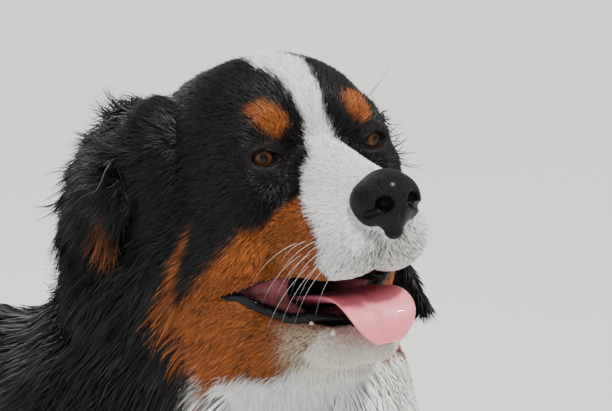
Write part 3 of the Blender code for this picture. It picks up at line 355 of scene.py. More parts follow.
def foreleg_form(points):
    """Upper arm, forearm, pastern and paw."""
    q = folded(points, 0.0005)
    form = limb(q, (0.095, -0.165, 0.42), (0.092, -0.150, 0.335), 0.068, 0.050)
    form = blend(form, limb(q, (0.092, -0.155, 0.335), (0.088, -0.185, 0.135), 0.045, 0.034), 0.03)
    form = blend(form, limb(q, (0.088, -0.185, 0.135), (0.088, -0.198, 0.055), 0.033, 0.034), 0.02)
    return blend(form, paw_form(points, FORE_PAW, 0.042), 0.015)


def hindleg_form(points):
    """Thigh, second thigh, hock and paw."""
    q = folded(points, 0.0005)
    form = limb(q, (0.090, 0.235, 0.44), (0.105, 0.205, 0.330), 0.085, 0.058)
    form = blend(form, limb(q, (0.104, 0.215, 0.330), (0.098, 0.338, 0.185), 0.054, 0.029), 0.035)
    form = blend(form, limb(q, (0.098, 0.343, 0.180), (0.096, 0.318, 0.060), 0.027, 0.030), 0.02)
    return blend(form, paw_form(points, HIND_PAW, 0.039), 0.015)


def tail_form(points):
    """Four tapered rods that flow into each other."""
    form = limb(points, TAIL_PATH[0], TAIL_PATH[1], TAIL_RADII[0], TAIL_RADII[1])
    for i in range(1, len(TAIL_PATH) - 1):
        piece = limb(points, TAIL_PATH[i], TAIL_PATH[i + 1], TAIL_RADII[i], TAIL_RADII[i + 1])
        form = blend(form, piece, 0.02)
    return form


def flesh_form(points):
    """Trunk, neck, legs and tail to the skin, without the head."""
    form = blend(trunk_form(points), neck_form(points), 0.06)
    form = blend(form, foreleg_form(points), 0.03)
    form = blend(form, hindleg_form(points), 0.04)
    return blend(form, tail_form(points), 0.02)


# %% [markdown]
# The coat's depth and its lie change slowly over the body, so they are named at some forty places and
# averaged in between, each place weighing less with the fourth power of its distance. The undercoat is
# dense and follows the skin, so the surface that the tufts stand on lies a share of the depth out.

# %% The coat's depth and lie
UNDERCOAT = 0.34
BODY_COAT = (
    ("withers", (0, -0.12, 0.66), 0.028, (0, 1, -0.1)),
    ("back", (0, 0.10, 0.65), 0.026, (0, 1, -0.1)),
    ("croup", (0, 0.30, 0.63), 0.030, (0, 1, -0.5)),
    ("shoulder", (0.14, -0.18, 0.52), 0.030, (0, 0.5, -0.85)),
    ("ribs", (0.15, 0.00, 0.50), 0.030, (0, 0.8, -0.6)),
    ("flank", (0.12, 0.17, 0.47), 0.032, (0, 0.7, -0.7)),
    ("belly", (0, 0.05, 0.37), 0.042, (0, 0.8, -0.6)),
    ("chest", (0, -0.36, 0.52), 0.050, (0, 0, -1)),
    ("brisket", (0, -0.22, 0.36), 0.045, (0, 0.4, -0.9)),
    ("neck side", (0.10, -0.25, 0.70), 0.036, (0, 0.45, -0.9)),
    ("neck back", (0, -0.13, 0.76), 0.034, (0, 0.7, -0.7)),
    ("throat", (0, -0.37, 0.70), 0.045, (0, -0.1, -1)),
    ("upper foreleg", (0.14, -0.16, 0.40), 0.020, (0, 0.2, -1)),
    ("forearm front", (0.09, -0.20, 0.25), 0.007, (0, 0, -1)),
    ("forearm back", (0.09, -0.11, 0.27), 0.026, (0, 0.4, -0.9)),
    ("pastern", (0.09, -0.19, 0.10), 0.007, (0, 0, -1)),
    ("fore paw", (0.088, -0.23, 0.03), 0.005, (0, -0.8, -0.5)),
    ("thigh", (0.15, 0.25, 0.44), 0.026, (0, 0.2, -1)),
    ("breech", (0.08, 0.36, 0.42), 0.045, (0, 0.15, -1)),
    ("shank", (0.11, 0.25, 0.27), 0.012, (0, 0.3, -0.9)),
    ("hock", (0.10, 0.35, 0.15), 0.006, (0, 0, -1)),
    ("hind paw", (0.096, 0.30, 0.03), 0.005, (0, -0.8, -0.5)),
    ("tail root", (0, 0.40, 0.56), 0.032, (0, 0.5, -0.85)),
    ("tail middle", (0, 0.46, 0.38), 0.052, (0, 0.2, -1)),
    ("tail end", (0, 0.49, 0.20), 0.050, (0, 0.3, -1)),
)
HEAD_COAT = (
    ("bridge", (0, 6, -1.3), 0.002, (0, -1, 0)),
    ("upper lip", (3.5, 5, -7), 0.004, (0.1, -0.8, -0.6)),
    ("pads", (1.5, 9, -6), 0.003, (0.5, -0.5, -0.6)),
    ("forehead", (0, -1, 4.5), 0.005, (0, -0.9, 0.4)),
    ("brow", (4, 0.5, 2.5), 0.004, (0.3, -0.9, 0.2)),
    ("under the eye", (4.5, 1, -2.5), 0.003, (0.3, -0.9, -0.3)),
    ("crown", (0, -8, 7.0), 0.008, (0, -1, -0.1)),
    ("temple", (6.5, -4, 1), 0.007, (0.2, -0.9, -0.3)),
    ("cheek", (7, -3, -5), 0.010, (0.2, -0.8, -0.6)),
    ("jowl", (6.5, -7, -9.5), 0.020, (0.2, -0.6, -0.8)),
    ("corner of the mouth", (6.5, -2.5, -11.0), 0.005, (0.2, -0.9, -0.4)),
    ("lower lip", (4.5, 1, -14), 0.004, (0.1, -0.9, -0.4)),
    ("chin", (0, 3, -15.5), 0.005, (0, -0.7, -0.6)),
    ("front of the throat", (0, -4, -16.5), 0.020, (0, -0.5, -0.9)),
    ("nape", (0, -15, 4), 0.032, (0, -0.7, -0.7)),
)
EAR_LIE_TOP, EAR_LIE_FOOT = (-0.3, -1.0, -0.25), (0.0, -0.25, -1.0)


def averaged(frame_points, places, size, total, depth, lie, turn):
    """Adds the weighted depth and lie of some named places to the running sums."""
    side = np.sign(frame_points[..., 0]) + (frame_points[..., 0] == 0)
    both = folded(frame_points, 0.0)
    for _, place, tips, heading in places:
        away = (both - np.asarray(place, np.float32)) * size
        weight = 1 / ((away * away).sum(-1) + (0.04 if size == 1 else 0.02) ** 2) ** 2
        ways = np.stack([side * heading[0], side * 0 + heading[1], side * 0 + heading[2]], -1)
        total += weight
        depth += weight * tips
        lie += weight[..., None] * (ways if turn is None else turn(ways))
    return total, depth, lie


def coat_at(points):
    """The depth of the coat and its lie at each point, averaged from the named places."""
    points = np.asarray(points, np.float32)
    start = (np.zeros(points.shape[:-1]), np.zeros(points.shape[:-1]), np.zeros(points.shape))
    sums = averaged(points, BODY_COAT, 1, *start, None)
    total, depth, lie = averaged(to_head(points), HEAD_COAT, CM, *sums, head_way)
    return depth / total, unit(lie)


def base_form(points):
    """The surface the tufts stand on: the skin and the dense share of the coat. The ears stay thin,
    and the coat ends at the rim of the mouth, where the closed head is a rim's depth away."""
    points = np.asarray(points, np.float32)
    form = flesh_form(points)
    high = points[..., 2] > HEAD_FLOOR
    closed = blend(form[high], head_form(points[high]), 0.03)
    form[high] = carve(closed, mouth_form(points[high], closed), 0.005)
    depth = coat_at(points)[0].astype(np.float32) * UNDERCOAT
    depth[high] *= np.clip(1 + closed / CM / MOUTH_RIM, 0, 1)
    form = form - depth
    form[high] = blend(form[high], ear_form(points[high]), 0.008)
    form[high] = carve(form[high], nose_domes(points[high]) + 0.0025, 0.001)
    return form


def way_out(form, points, step=0.0012):
    """The slope of a form: four samples at the corners of a tetrahedron, each times its corner."""
    corners = np.array(((1, 1, 1), (1, -1, -1), (-1, 1, -1), (-1, -1, 1)), np.float32)
    slope = sum(form(points + step * corner)[..., None] * corner for corner in corners)
    return unit(slope)


# %% [markdown]
# The function becomes a mesh by surface nets: a grid of boxes is laid over the body, finer over the
# head, and every box that the surface passes through gets one point, joined to the points of its
# neighbours by quads. Marching cubes would do, but nets give more even quads. Each point is then moved
# straight onto the surface.

# %% Surface nets


def ticks(low, high, fine_low, fine_high, coarse, fine):
    """Grid places from low to high, closer together in the fine stretch."""
    places = [low]
    while places[-1] < high:
        places.append(places[-1] + (fine if fine_low <= places[-1] < fine_high else coarse))
    return np.array(places, np.float32)


def sampled(form, axes, skip=4):
    """The form on the whole grid: exact near the surface, and from every fourth place elsewhere."""
    counts = [len(axis) for axis in axes]
    coarse = np.stack(np.meshgrid(*[axis[::skip] for axis in axes], indexing="ij"), -1)
    values = form(coarse.reshape(-1, 3)).reshape(coarse.shape[:3])
    for axis in range(3):
        values = np.repeat(values, skip, axis=axis)
    values = values[: counts[0], : counts[1], : counts[2]].astype(np.float32).copy()
    reach = skip * 1.75 * max(np.diff(axis).max() for axis in axes)
    near = np.argwhere(np.abs(values) < reach)
    points = np.stack([axes[i][near[:, i]] for i in range(3)], -1)
    parts = np.array_split(points, max(1, len(points) // 200000))
    values[tuple(near.T)] = np.concatenate([form(part) for part in parts])
    return values


def surface_net(form, axes):
    """(points, quads) of the surface where the form is zero."""
    values = sampled(form, axes)
    inside = values < 0
    cubes = np.array(values.shape) - 1
    corners = np.array([(i, j, k) for i in (0, 1) for j in (0, 1) for k in (0, 1)])
    shifted = (inside[i : i + cubes[0], j : j + cubes[1], k : k + cubes[2]] for i, j, k in corners)
    full = sum(part.astype(np.int8) for part in shifted)
    cells = np.argwhere((full > 0) & (full < 8))
    number = np.full(tuple(cubes), -1, np.int64)
    number[tuple(cells.T)] = np.arange(len(cells))
    at = cells[:, None, :] + corners[None]
    value = values[at[..., 0], at[..., 1], at[..., 2]]
    place = np.stack([axes[i][at[..., i]] for i in range(3)], -1)
    total, count = np.zeros((len(cells), 3)), np.zeros(len(cells))
    for a in range(8):
        for b in range(a + 1, 8):
            if abs(corners[a] - corners[b]).sum() == 1:
                crossed = (value[:, a] < 0) != (value[:, b] < 0)
                share = np.where(crossed, value[:, a] / np.where(crossed, value[:, a] - value[:, b], 1), 0)
                total += crossed[:, None] * (place[:, a] + share[:, None] * (place[:, b] - place[:, a]))
                count += crossed
    quads = []
    for axis in range(3):
        b, c = [(1, 2), (2, 0), (0, 1)][axis]
        one = np.take(inside, range(0, cubes[axis]), axis)
        two = np.take(inside, range(1, cubes[axis] + 1), axis)
        edge = np.argwhere(one != two)
        edge = edge[(edge[:, b] > 0) & (edge[:, c] > 0) & (edge[:, b] < cubes[b]) & (edge[:, c] < cubes[c])]
        step_b, step_c = np.eye(3, dtype=int)[b], np.eye(3, dtype=int)[c]
        ring = [edge - step_b - step_c, edge - step_c, edge, edge - step_b]
        quad = np.stack([number[tuple(cell.T)] for cell in ring], -1)
        outside = ~one[tuple(edge.T)]
        quad[outside] = quad[outside][:, ::-1]
        quads.append(quad)
    return total / count[:, None], np.concatenate(quads)


# %% Meshes from arrays


def mesh_object(name, points, faces, colours=None, uvs=None, smooth=True):
    """A mesh object from whole arrays, moved with the solids; a face that repeats a corner is a triangle."""
    points, faces = np.asarray(points), np.asarray(faces)
    sizes = np.full(len(faces), faces.shape[1])
    if faces.shape[1] == 4:
        sizes = np.where(faces[:, 3] < 0, 3, 4)
    loops = faces.reshape(-1)[faces.reshape(-1) >= 0]
    mesh = bpy.data.meshes.new(name)
    mesh.vertices.add(len(points))
    mesh.vertices.foreach_set("co", (points + SHIFT).astype(np.float32).ravel())
    mesh.loops.add(len(loops))
    mesh.loops.foreach_set("vertex_index", loops.astype(np.int32))
    mesh.polygons.add(len(faces))
    mesh.polygons.foreach_set("loop_start", (np.cumsum(sizes) - sizes).astype(np.int32))
    mesh.update(calc_edges=True)
    mesh.polygons.foreach_set("use_smooth", np.full(len(faces), smooth))
    if colours is not None:
        layer = mesh.color_attributes.new("coat", "FLOAT_COLOR", "POINT")
        rows = np.concatenate([colours, np.ones((len(points), 1))], 1)
        layer.data.foreach_set("color", rows.astype(np.float32).ravel())
    if uvs is not None:
        mesh.uv_layers.new(name="OFBake").data.foreach_set("uv", uvs[loops].astype(np.float32).ravel())
    made = bpy.data.objects.new(name, mesh)
    bpy.context.scene.collection.objects.link(made)
    return made


def grid_faces(rows, columns, closed):
    """Quads between the rows of a grid, with the last column joined to the first if it is closed."""
    i, j = np.meshgrid(np.arange(rows - 1), np.arange(columns if closed else columns - 1), indexing="ij")
    a, b = i * columns + j, i * columns + (j + 1) % columns
    return np.stack([a, b, b + columns, a + columns], -1).reshape(-1, 4)


def triangles_of(thing):
    """How many triangles a mesh has."""
    return sum(len(face.vertices) - 2 for face in thing.data.polygons)


# %% [markdown]
# One skin covers every flesh part, so no seam shows between head, neck, trunk, legs, ears and tail.

# %% The skin's shape
HEAD_CELL, BODY_CELL = 0.0028, 0.0066
axes = (
    ticks(-0.23, 0.23, -0.20, 0.125, BODY_CELL, HEAD_CELL),
    ticks(-0.53, 0.57, -0.520, -0.175, BODY_CELL, HEAD_CELL),
    np.concatenate([np.arange(-0.02, 0.088, 0.004), ticks(0.09, 0.985, 0.665, 0.985, BODY_CELL, HEAD_CELL)]),
)
skin_points, skin_quads = surface_net(base_form, axes)
for _ in range(2):
    value = base_form(skin_points)
    skin_points = skin_points - way_out(base_form, skin_points) * np.clip(value, -0.004, 0.004)[:, None]
skin_points[:, 2] = np.maximum(skin_points[:, 2], 0.0004)
skin_out = way_out(base_form, skin_points)
print("skin:", len(skin_points), "points,", len(skin_quads) * 2, "triangles")

# %% [markdown]
# The markings of the breed: black with a white blaze, muzzle, breast, toes and tail tip, and rust on
# the brows, cheeks, legs and beside the breast. Each region is a function of place, so that skin and
# tufts share it. Edges are made ragged by moving each point a little before it is looked up, as real
# markings mix along their borders. A painted image would need an unwrap and would show its pixels.

# %% Smooth noise


def ripple(points, size, seed):
    """Smooth noise from -1 to 1 in three channels: random values on a lattice, eased between."""
    table = np.random.default_rng(seed).uniform(-1, 1, (4096, 3)).astype(np.float32)
    place = np.asarray(points) / size
    cell = np.floor(place).astype(np.int64)
    part = place - cell
    part = part * part * (3 - 2 * part)
    total = 0.0
    for corner in ((0, 0, 0), (1, 0, 0), (0, 1, 0), (1, 1, 0), (0, 0, 1), (1, 0, 1), (0, 1, 1), (1, 1, 1)):
        at = cell + np.array(corner)
        key = (at[..., 0] * 73856093 ^ at[..., 1] * 19349663 ^ at[..., 2] * 83492791) % 4096
        weight = np.prod(np.where(np.array(corner) == 1, part, 1 - part), -1)
        total = total + table[key] * weight[..., None]
    return total


# %% The markings
BLACK = np.array((0.0068, 0.0060, 0.0062))
RUST = np.array((0.225, 0.064, 0.013))
WHITE = np.array((0.86, 0.85, 0.83))
CREAM = np.array((0.62, 0.54, 0.38))

# Half width of the blaze by the angle over the face, from the muzzle's tip round to the nape.
BLAZE_ANGLES = (18, 25, 30, 40, 48, 56, 63, 73, 82, 91, 110, 125)
BLAZE_HALVES = (3.1, 2.3, 1.75, 1.25, 0.95, 0.85, 0.98, 1.18, 1.50, 1.75, 1.0, 0.0)
# Where the white of the muzzle ends behind, by height.
MUZZLE_HEIGHTS = (-17.5, -15.5, -13.0, -9.5, -7.8, -6.5, -5.0, -4.2, -3.5, -3.0, -2.0, -0.9)
MUZZLE_BACKS = (0.6, 1.4, 3.0, 5.3, 6.4, 6.9, 6.4, 5.4, 4.2, 3.4, 2.4, 2.6)
# The rust of the cheek, from the side: forward and up, with the black wedge that runs down into it.
CHEEK_OUTLINE = np.array((
    (2.9, -2.9), (4.2, -3.5), (5.4, -4.2), (6.4, -5.0), (6.9, -6.5), (6.4, -7.8), (5.3, -9.5), (4.0, -12.0),
    (0.8, -15.6), (-0.7, -17.0), (-2.4, -16.5), (-4.4, -17.2), (-4.4, -18.6), (-5.2, -16.6), (-6.0, -14.1),
    (-6.4, -12.1), (-6.4, -9.7), (-5.7, -7.6), (-4.7, -5.6), (-4.0, -4.4), (-4.3, -6.2), (-4.9, -7.9),
    (-5.3, -10.0), (-4.6, -9.5), (-3.5, -8.4), (-2.4, -7.1), (-1.0, -5.7), (0.9, -4.3), (1.7, -3.6),
))


def outside_outline(places, outline):
    """Signed distance from a flat outline: to the nearest edge, negative where a ray crosses it oddly."""
    nearest = np.full(len(places), 1e9)
    within = np.zeros(len(places), bool)
    for start, end in zip(outline, np.roll(outline, -1, 0)):
        edge = end - start
        away = places - start
        share = np.clip(away @ edge / (edge @ edge), 0, 1)
        nearest = np.minimum(nearest, np.linalg.norm(away - share[:, None] * edge, axis=1))
        spans = (start[1] > places[:, 1]) != (end[1] > places[:, 1])
        across = start[0] + (places[:, 1] - start[1]) * edge[0] / (edge[1] if edge[1] else 1e-9)
        within ^= spans & (places[:, 0] < across)
    return np.where(within, -nearest, nearest)


def soft(distance, width):
    """One inside, nought outside, eased over a width on each side of the border."""
    return np.clip(0.5 - distance / (2 * width), 0, 1)


def mixed(base, colour, share):
    """Colours moved towards another by a share each."""
    return base + (colour - base) * share[:, None]


def markings(points, ragged=0.0, seed=3):
    """The colour of the coat at each point, and how white it is."""
    jitter = np.random.default_rng(seed).normal(0, 1, (len(points), 3)) * ragged
    points = points + jitter * 0.01
    head = to_head(points)
    wave = ripple(points, 0.012, 5) * 0.25
    u, v, w = np.abs(head[:, 0]) + wave[:, 0], head[:, 1] + wave[:, 1], head[:, 2] + wave[:, 2]
    wide = ripple(points, 0.05, 6) * 0.010
    x, y, z = np.abs(points[:, 0]) + wide[:, 0], points[:, 1] + wide[:, 1], points[:, 2] + wide[:, 2]
    colour = np.tile(BLACK, (len(points), 1))
    white = np.zeros(len(points))

    fore_rust = np.maximum(z - 0.30 - 0.3 * (0.03 + y + 0.15), 0.10 - z)
    fore_rust = np.maximum(fore_rust, np.maximum(-0.34 - y, y + 0.02))
    hind_rust = np.maximum(np.maximum(z - 0.30, 0.08 - z), 0.09 - y)
    hind_rust = np.maximum(hind_rust, (y - 0.26) * 0.6 + (z - 0.24) * 0.55 - 0.035)
    breech_rust = np.maximum(np.maximum(z - 0.46, y - 0.41), np.maximum(x - 0.062, 0.20 - y))
    hind_rust = np.minimum(hind_rust, breech_rust)
    breast_way = np.stack([x - 0.088, (y + 0.33) * 0.6, (z - 0.545) * 0.8], 1)
    breast_rust = np.linalg.norm(breast_way, axis=1) - 0.034
    under_tail = np.linalg.norm(np.stack([x, y - 0.385, (z - 0.475) * 0.7], 1), axis=1) - 0.035
    for region in (fore_rust, hind_rust, breast_rust, under_tail):
        colour = mixed(colour, RUST, soft(region, 0.006))
    centre = np.interp(points[:, 2], (0.45, 0.62, 0.70), (0.0, -0.015, -0.028))
    turn = np.degrees(np.arctan2(np.abs(points[:, 0] - centre), -(points[:, 1] + 0.22)))
    most = np.interp(z, (0.33, 0.40, 0.48, 0.60, 0.68, 0.72), (8, 18, 26, 33, 38, 36))
    bib = (turn + wide[:, 0] * 300 - most) * 0.0022
    bib_top = z - 0.712 - 0.5 * np.maximum(0.075 - np.abs(points[:, 0] - centre), 0)
    bib = np.maximum(bib, np.maximum(bib_top, 0.33 - z))
    toes = np.where(y < 0, z - 0.068, z - 0.052)
    tip = np.maximum(z - 0.225, 0.40 - y)
    for region in (toes, tip):
        share = soft(region, 0.006)
        colour, white = mixed(colour, WHITE, share), np.maximum(white, share)

    in_head = soft(np.maximum(-8.5 - v, -19.5 - w), 1.0)
    cheek = outside_outline(np.stack([v, w], 1), CHEEK_OUTLINE)
    cheek = np.maximum(cheek, 2.0 - u)
    share = soft(cheek, 0.25) * in_head
    colour = mixed(colour, RUST, share)
    share = soft(bib, 0.006) * (1 - share)
    colour, white = mixed(colour, WHITE, share), np.maximum(white, share)
    spot = np.sqrt(((u - 3.7) / 1.2) ** 2 + ((w - 2.55) / 1.1) ** 2) - 1
    share = soft(np.maximum(spot, -3.0 - v), 0.22)
    colour = mixed(colour, RUST * 1.25, share)
    ear_edge = np.linalg.norm(np.stack([(v + 12.9) / 0.8, (w + 5.6) / 2.0], 1), axis=1) - 1
    colour = mixed(colour, RUST * 0.6, soft(np.maximum(ear_edge, 10.5 - u), 0.3) * 0.8)

    angle = np.degrees(np.arctan2(w + 4, v + 4))
    blaze = u - np.interp(angle, BLAZE_ANGLES, BLAZE_HALVES, left=-9, right=-9)
    blaze = np.where((angle > 18) & (w > -1.2), blaze, 9.0)
    back = np.interp(w, MUZZLE_HEIGHTS, MUZZLE_BACKS)
    muzzle = np.where(w < -0.9, back - v, np.maximum(2.6 - v, u - 3.2))
    muzzle = np.maximum(muzzle, -16.6 - w)
    share = soft(np.minimum(blaze, muzzle), 0.18)
    colour, white = mixed(colour, WHITE, share), np.maximum(white, share)
    colour = mixed(colour, CREAM, soft(np.maximum(np.maximum(w + 13.2, 0.0 - v), -17.2 - w), 0.6) * 0.55)
    return colour, white


def pepper(points):
    """How many dark hairs are mixed into the white: most under the nose and along the upper lip."""
    head = to_head(points)
    u, v, w = np.abs(head[:, 0]), head[:, 1], head[:, 2]
    below_nose = np.exp(-(((v - 9.6) / 1.9) ** 2 + ((w + 6.8) / 1.7) ** 2 + (u / 2.8) ** 2))
    lip = np.exp(-(((w + 8.6) / 1.2) ** 2 + ((v - 7.5) / 2.6) ** 2))
    return np.clip(0.62 * below_nose + 0.30 * lip, 0, 0.7)


# %% [markdown]
# Finishes read the colour kept on the mesh and add detail of the right scale: fine hair lines on the
# skin, pebbled leather on the nose, buds on the tongue. Wet parts get a clear coat.

# %% Material helpers


def material(name, colour, roughness, **settings):
    """A Principled material with some of its sockets set."""
    made = bpy.data.materials.new(name)
    made.use_nodes = True
    shader = made.node_tree.nodes["Principled BSDF"]
    shader.inputs["Base Color"].default_value = (*colour, 1.0)
    shader.inputs["Roughness"].default_value = roughness
    for socket, value in settings.items():
        shader.inputs[socket.replace("_", " ")].default_value = value
    return made, made.node_tree, shader


def node(tree, kind, **values):
    """A node with some of its inputs set."""
    made = tree.nodes.new(kind)
    for socket, value in values.items():
        made.inputs[socket.replace("_", " ")].default_value = value
    return made


def noise(tree, scale, detail=3.0, stretch=(1, 1, 1)):
    """Noise on the piece's own place, stretched along an axis where wanted."""
    place = tree.nodes.new("ShaderNodeTexCoord")
    mapping = tree.nodes.new("ShaderNodeMapping")
    mapping.inputs["Scale"].default_value = stretch
    tree.links.new(place.outputs["Object"], mapping.inputs["Vector"])
    made = node(tree, "ShaderNodeTexNoise", Scale=scale, Detail=detail)
    tree.links.new(mapping.outputs["Vector"], made.inputs["Vector"])
    return made


def bump(tree, shader, height, strength, distance):
    """Bump on a shader from a height output."""
    made = node(tree, "ShaderNodeBump", Strength=strength, Distance=distance)
    tree.links.new(height, made.inputs["Height"])
    tree.links.new(made.outputs["Normal"], shader.inputs["Normal"])
    return made


def varied(tree, shader, source, factor, low, high):
    """A colour source times a grey between low and high, by a factor."""
    ramp = tree.nodes.new("ShaderNodeMapRange")
    ramp.inputs["To Min"].default_value = low
    ramp.inputs["To Max"].default_value = high
    ramp.inputs["From Min"].default_value = 0.3
    ramp.inputs["From Max"].default_value = 0.7
    tree.links.new(factor, ramp.inputs["Value"])
    mix = tree.nodes.new("ShaderNodeVectorMath")
    mix.operation = "SCALE"
    tree.links.new(source, mix.inputs[0])
    tree.links.new(ramp.outputs["Result"], mix.inputs["Scale"])
    tree.links.new(mix.outputs["Vector"], shader.inputs["Base Color"])


def kept_colour(tree):
    """The colour that is kept on the mesh."""
    kept = tree.nodes.new("ShaderNodeVertexColor")
    kept.layer_name = "coat"
    return kept.outputs["Color"]


def coloured(name, roughness, scale, low, high, bump_strength, bump_distance, stretch=(1, 1, 1), **settings):
    """A finish whose colour is kept on the mesh, varied and bumped by one noise."""
    made, tree, shader = material(name, (0.5, 0.5, 0.5), roughness, **settings)
    grain = noise(tree, scale, stretch=stretch)
    varied(tree, shader, kept_colour(tree), grain.outputs["Fac"], low, high)
    bump(tree, shader, grain.outputs["Fac"], bump_strength, bump_distance)
    return made


def grained(name, colour, roughness, scale, strength, distance, detail=3.0, **settings):
    """A finish of one colour with a fine bump."""
    made, tree, shader = material(name, colour, roughness, **settings)
    bump(tree, shader, noise(tree, scale, detail).outputs["Fac"], strength, distance)
    return made


# %% [markdown]
# Skin, lips and mouth come from one mesh. A point of the skin far below the closed head lies on a wall
# of the mouth: a finger's breadth of black lip first, then pink lining. Those faces become a piece of
# their own, so that they can be wet, and share their border points' places with the skin.

# %% Skin and mouth
head_places = to_head(skin_points)
shut = blend(blend(trunk_form(skin_points), neck_form(skin_points), 0.06), head_form(skin_points), 0.03)
below = -shut / CM
mouth_area = (head_places[:, 1] > -6) & (head_places[:, 1] < 9.5) & (np.abs(head_places[:, 2] + 11.5) < 4.8)
mouth_area &= (skin_points[:, 2] > 0.6) & (np.abs(head_places[:, 0]) < 8.5)
in_mouth = np.where(mouth_area, below, 0)
mouth_quads = (in_mouth[skin_quads] > 0.22).all(1)

skin_colour = markings(skin_points)[0]
ear_near = np.where(skin_points[:, 2] > 0.6, ear_form(skin_points), 1.0)
sole = (skin_points[:, 2] < 0.012) & (skin_out[:, 2] < -0.3)
skin_colour = mixed(skin_colour, np.array((0.02, 0.018, 0.018)), sole * 1.0)
# Painted shade under the coat: the skin and undercoat between the tufts get 0.7 of the coat's colour.
skin_colour = skin_colour * 0.7
socket = np.linalg.norm(np.abs(head_places) * (1, 0, 0) + head_places * (0, 1, 1) - (4.9, 0.3, 0.0), axis=1)
skin_colour = mixed(skin_colour, np.array((0.012, 0.010, 0.010)), np.clip(2.0 - socket, 0, 1))

LIP_BLACK = np.array((0.0045, 0.004, 0.0045))
LINING = np.array((0.42, 0.13, 0.14))
mottled = np.clip(0.5 + 0.9 * ripple(skin_points, 0.006, 21)[:, 0], 0, 1)
lining = mixed(np.tile(LINING, (len(skin_points), 1)), LINING * 0.35, mottled * 0.6)
deep = np.clip((in_mouth - 0.75) / 0.35, 0, 1)
mouth_colour = mixed(np.tile(LIP_BLACK, (len(skin_points), 1)), lining, deep)
# Painted shade in the mouth's hollow: from 2.2 cm deep the lining darkens towards a near-black red.
mouth_colour = mixed(mouth_colour, np.array((0.05, 0.012, 0.012)), np.clip((in_mouth - 2.2) / 1.5, 0, 1))


def part_of(points, faces, *more):
    """The points that some faces use, and the faces numbered anew."""
    used = np.unique(faces)
    number = np.full(len(points), -1)
    number[used] = np.arange(len(used))
    return [points[used], number[faces]] + [rest[used] for rest in more]


WET_SHINE = {"Specular_IOR_Level": 0.06, "Coat_Weight": 0.25, "Coat_Roughness": 0.07}
skin_finish = coloured("dog skin", 0.62, 420, 0.75, 1.25, 0.35, 0.0015, (1, 1, 0.25), Specular_IOR_Level=0.12)
wet_finish = coloured("wet lips and mouth", 0.34, 300, 0.8, 1.2, 0.25, 0.0012, **WET_SHINE)
points, faces, colours = part_of(skin_points, skin_quads[~mouth_quads], skin_colour)
skin = mesh_object("skin", points, faces, colours)
skin.data.materials.append(skin_finish)
points, faces, colours = part_of(skin_points, skin_quads[mouth_quads], mouth_colour)
mouth = mesh_object("mouth_lining", points, faces, colours)
mouth.data.materials.append(wet_finish)
sides = ("left", "right")
flesh = ["head", "jaw", "neck", "torso", "tail"]
PAIRED = ("ear", "foreleg", "forepaw", "thigh", "shank", "hindpaw")
flesh += [part + "_" + side for part in PAIRED for side in sides]
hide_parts(*flesh)
print("skin", triangles_of(skin), "mouth", triangles_of(mouth), "replaces", len(flesh), "solids")

# %% [markdown]
# Most small pieces are tubes: a ring of points carried along a path, with a width and a depth at each
# place. One function makes them all, closed at both ends by drawing the last ring to a point.

# %% Tubes


def tube(path, wide, deep, side_way, around=12, bumps=None):
    """Rings along a path: path plus side times wide times cosine, plus out times deep times sine.
    The ends are drawn in to points, so the tube is closed."""
    path = np.asarray(path, float)
    ahead = unit(np.gradient(path, axis=0))
    side = unit(side_way - ahead * (side_way * ahead).sum(-1, keepdims=True))
    out = np.cross(side, ahead)
    turn = 2 * np.pi * np.arange(around) / around
    ring = side[:, None] * (wide[:, None] * np.cos(turn))[..., None]
    ring = ring + out[:, None] * (deep[:, None] * np.sin(turn))[..., None]
    if bumps is not None:
        ring = ring * bumps[..., None]
    rings = path[:, None] + ring
    rings = np.concatenate([path[:1, None].repeat(around, 1), rings, path[-1:, None].repeat(around, 1)])
    return rings.reshape(-1, 3), grid_faces(len(rings), around, True)


def joined_pieces(pieces):
    """Several (points, faces) as one."""
    points, faces, count = [], [], 0
    for some_points, some_faces in pieces:
        points.append(some_points)
        faces.append(some_faces + count)
        count += len(some_points)
    return np.concatenate(points), np.concatenate(faces)


def finished(thing, finish, slot_name, *nodes):
    """Gives a piece its finish and hides the solids that it stands for; the slot name is not used."""
    thing.data.materials.append(finish)
    if nodes:
        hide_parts(*nodes)
    return thing


def outward_faces(points, faces):
    """The faces turned so that a closed shape's volume is positive."""
    a, b, c = points[faces[:, 0]], points[faces[:, 1]], points[faces[:, 2]]
    middle = points.mean(0)
    volume = ((a - middle) * np.cross(b - middle, c - middle)).sum()
    return faces if volume > 0 else faces[:, ::-1]


# %% [markdown]
# The lips are black, bare and wet. The lower one hangs in a loose, beaded fold from the corner of the
# mouth to the chin; the upper one shows as a thin dark rim under the fur. Each is a tube whose path
# runs where the outer surface of the head meets the lip line.

# %% Lips


def lip_path(forward, height, side, sunk):
    """Places on the head's outer surface at given places forward and up, found by halving."""
    near, far = np.zeros(len(forward)), np.full(len(forward), 9.0)
    for _ in range(30):
        middle = (near + far) / 2
        spots = from_head(np.stack([side * middle, forward, height], 1))
        within = blend(neck_form(spots), head_form(spots), 0.03) < -sunk * CM
        near, far = np.where(within, middle, near), np.where(within, far, middle)
    return np.stack([side * near, forward, height], 1)


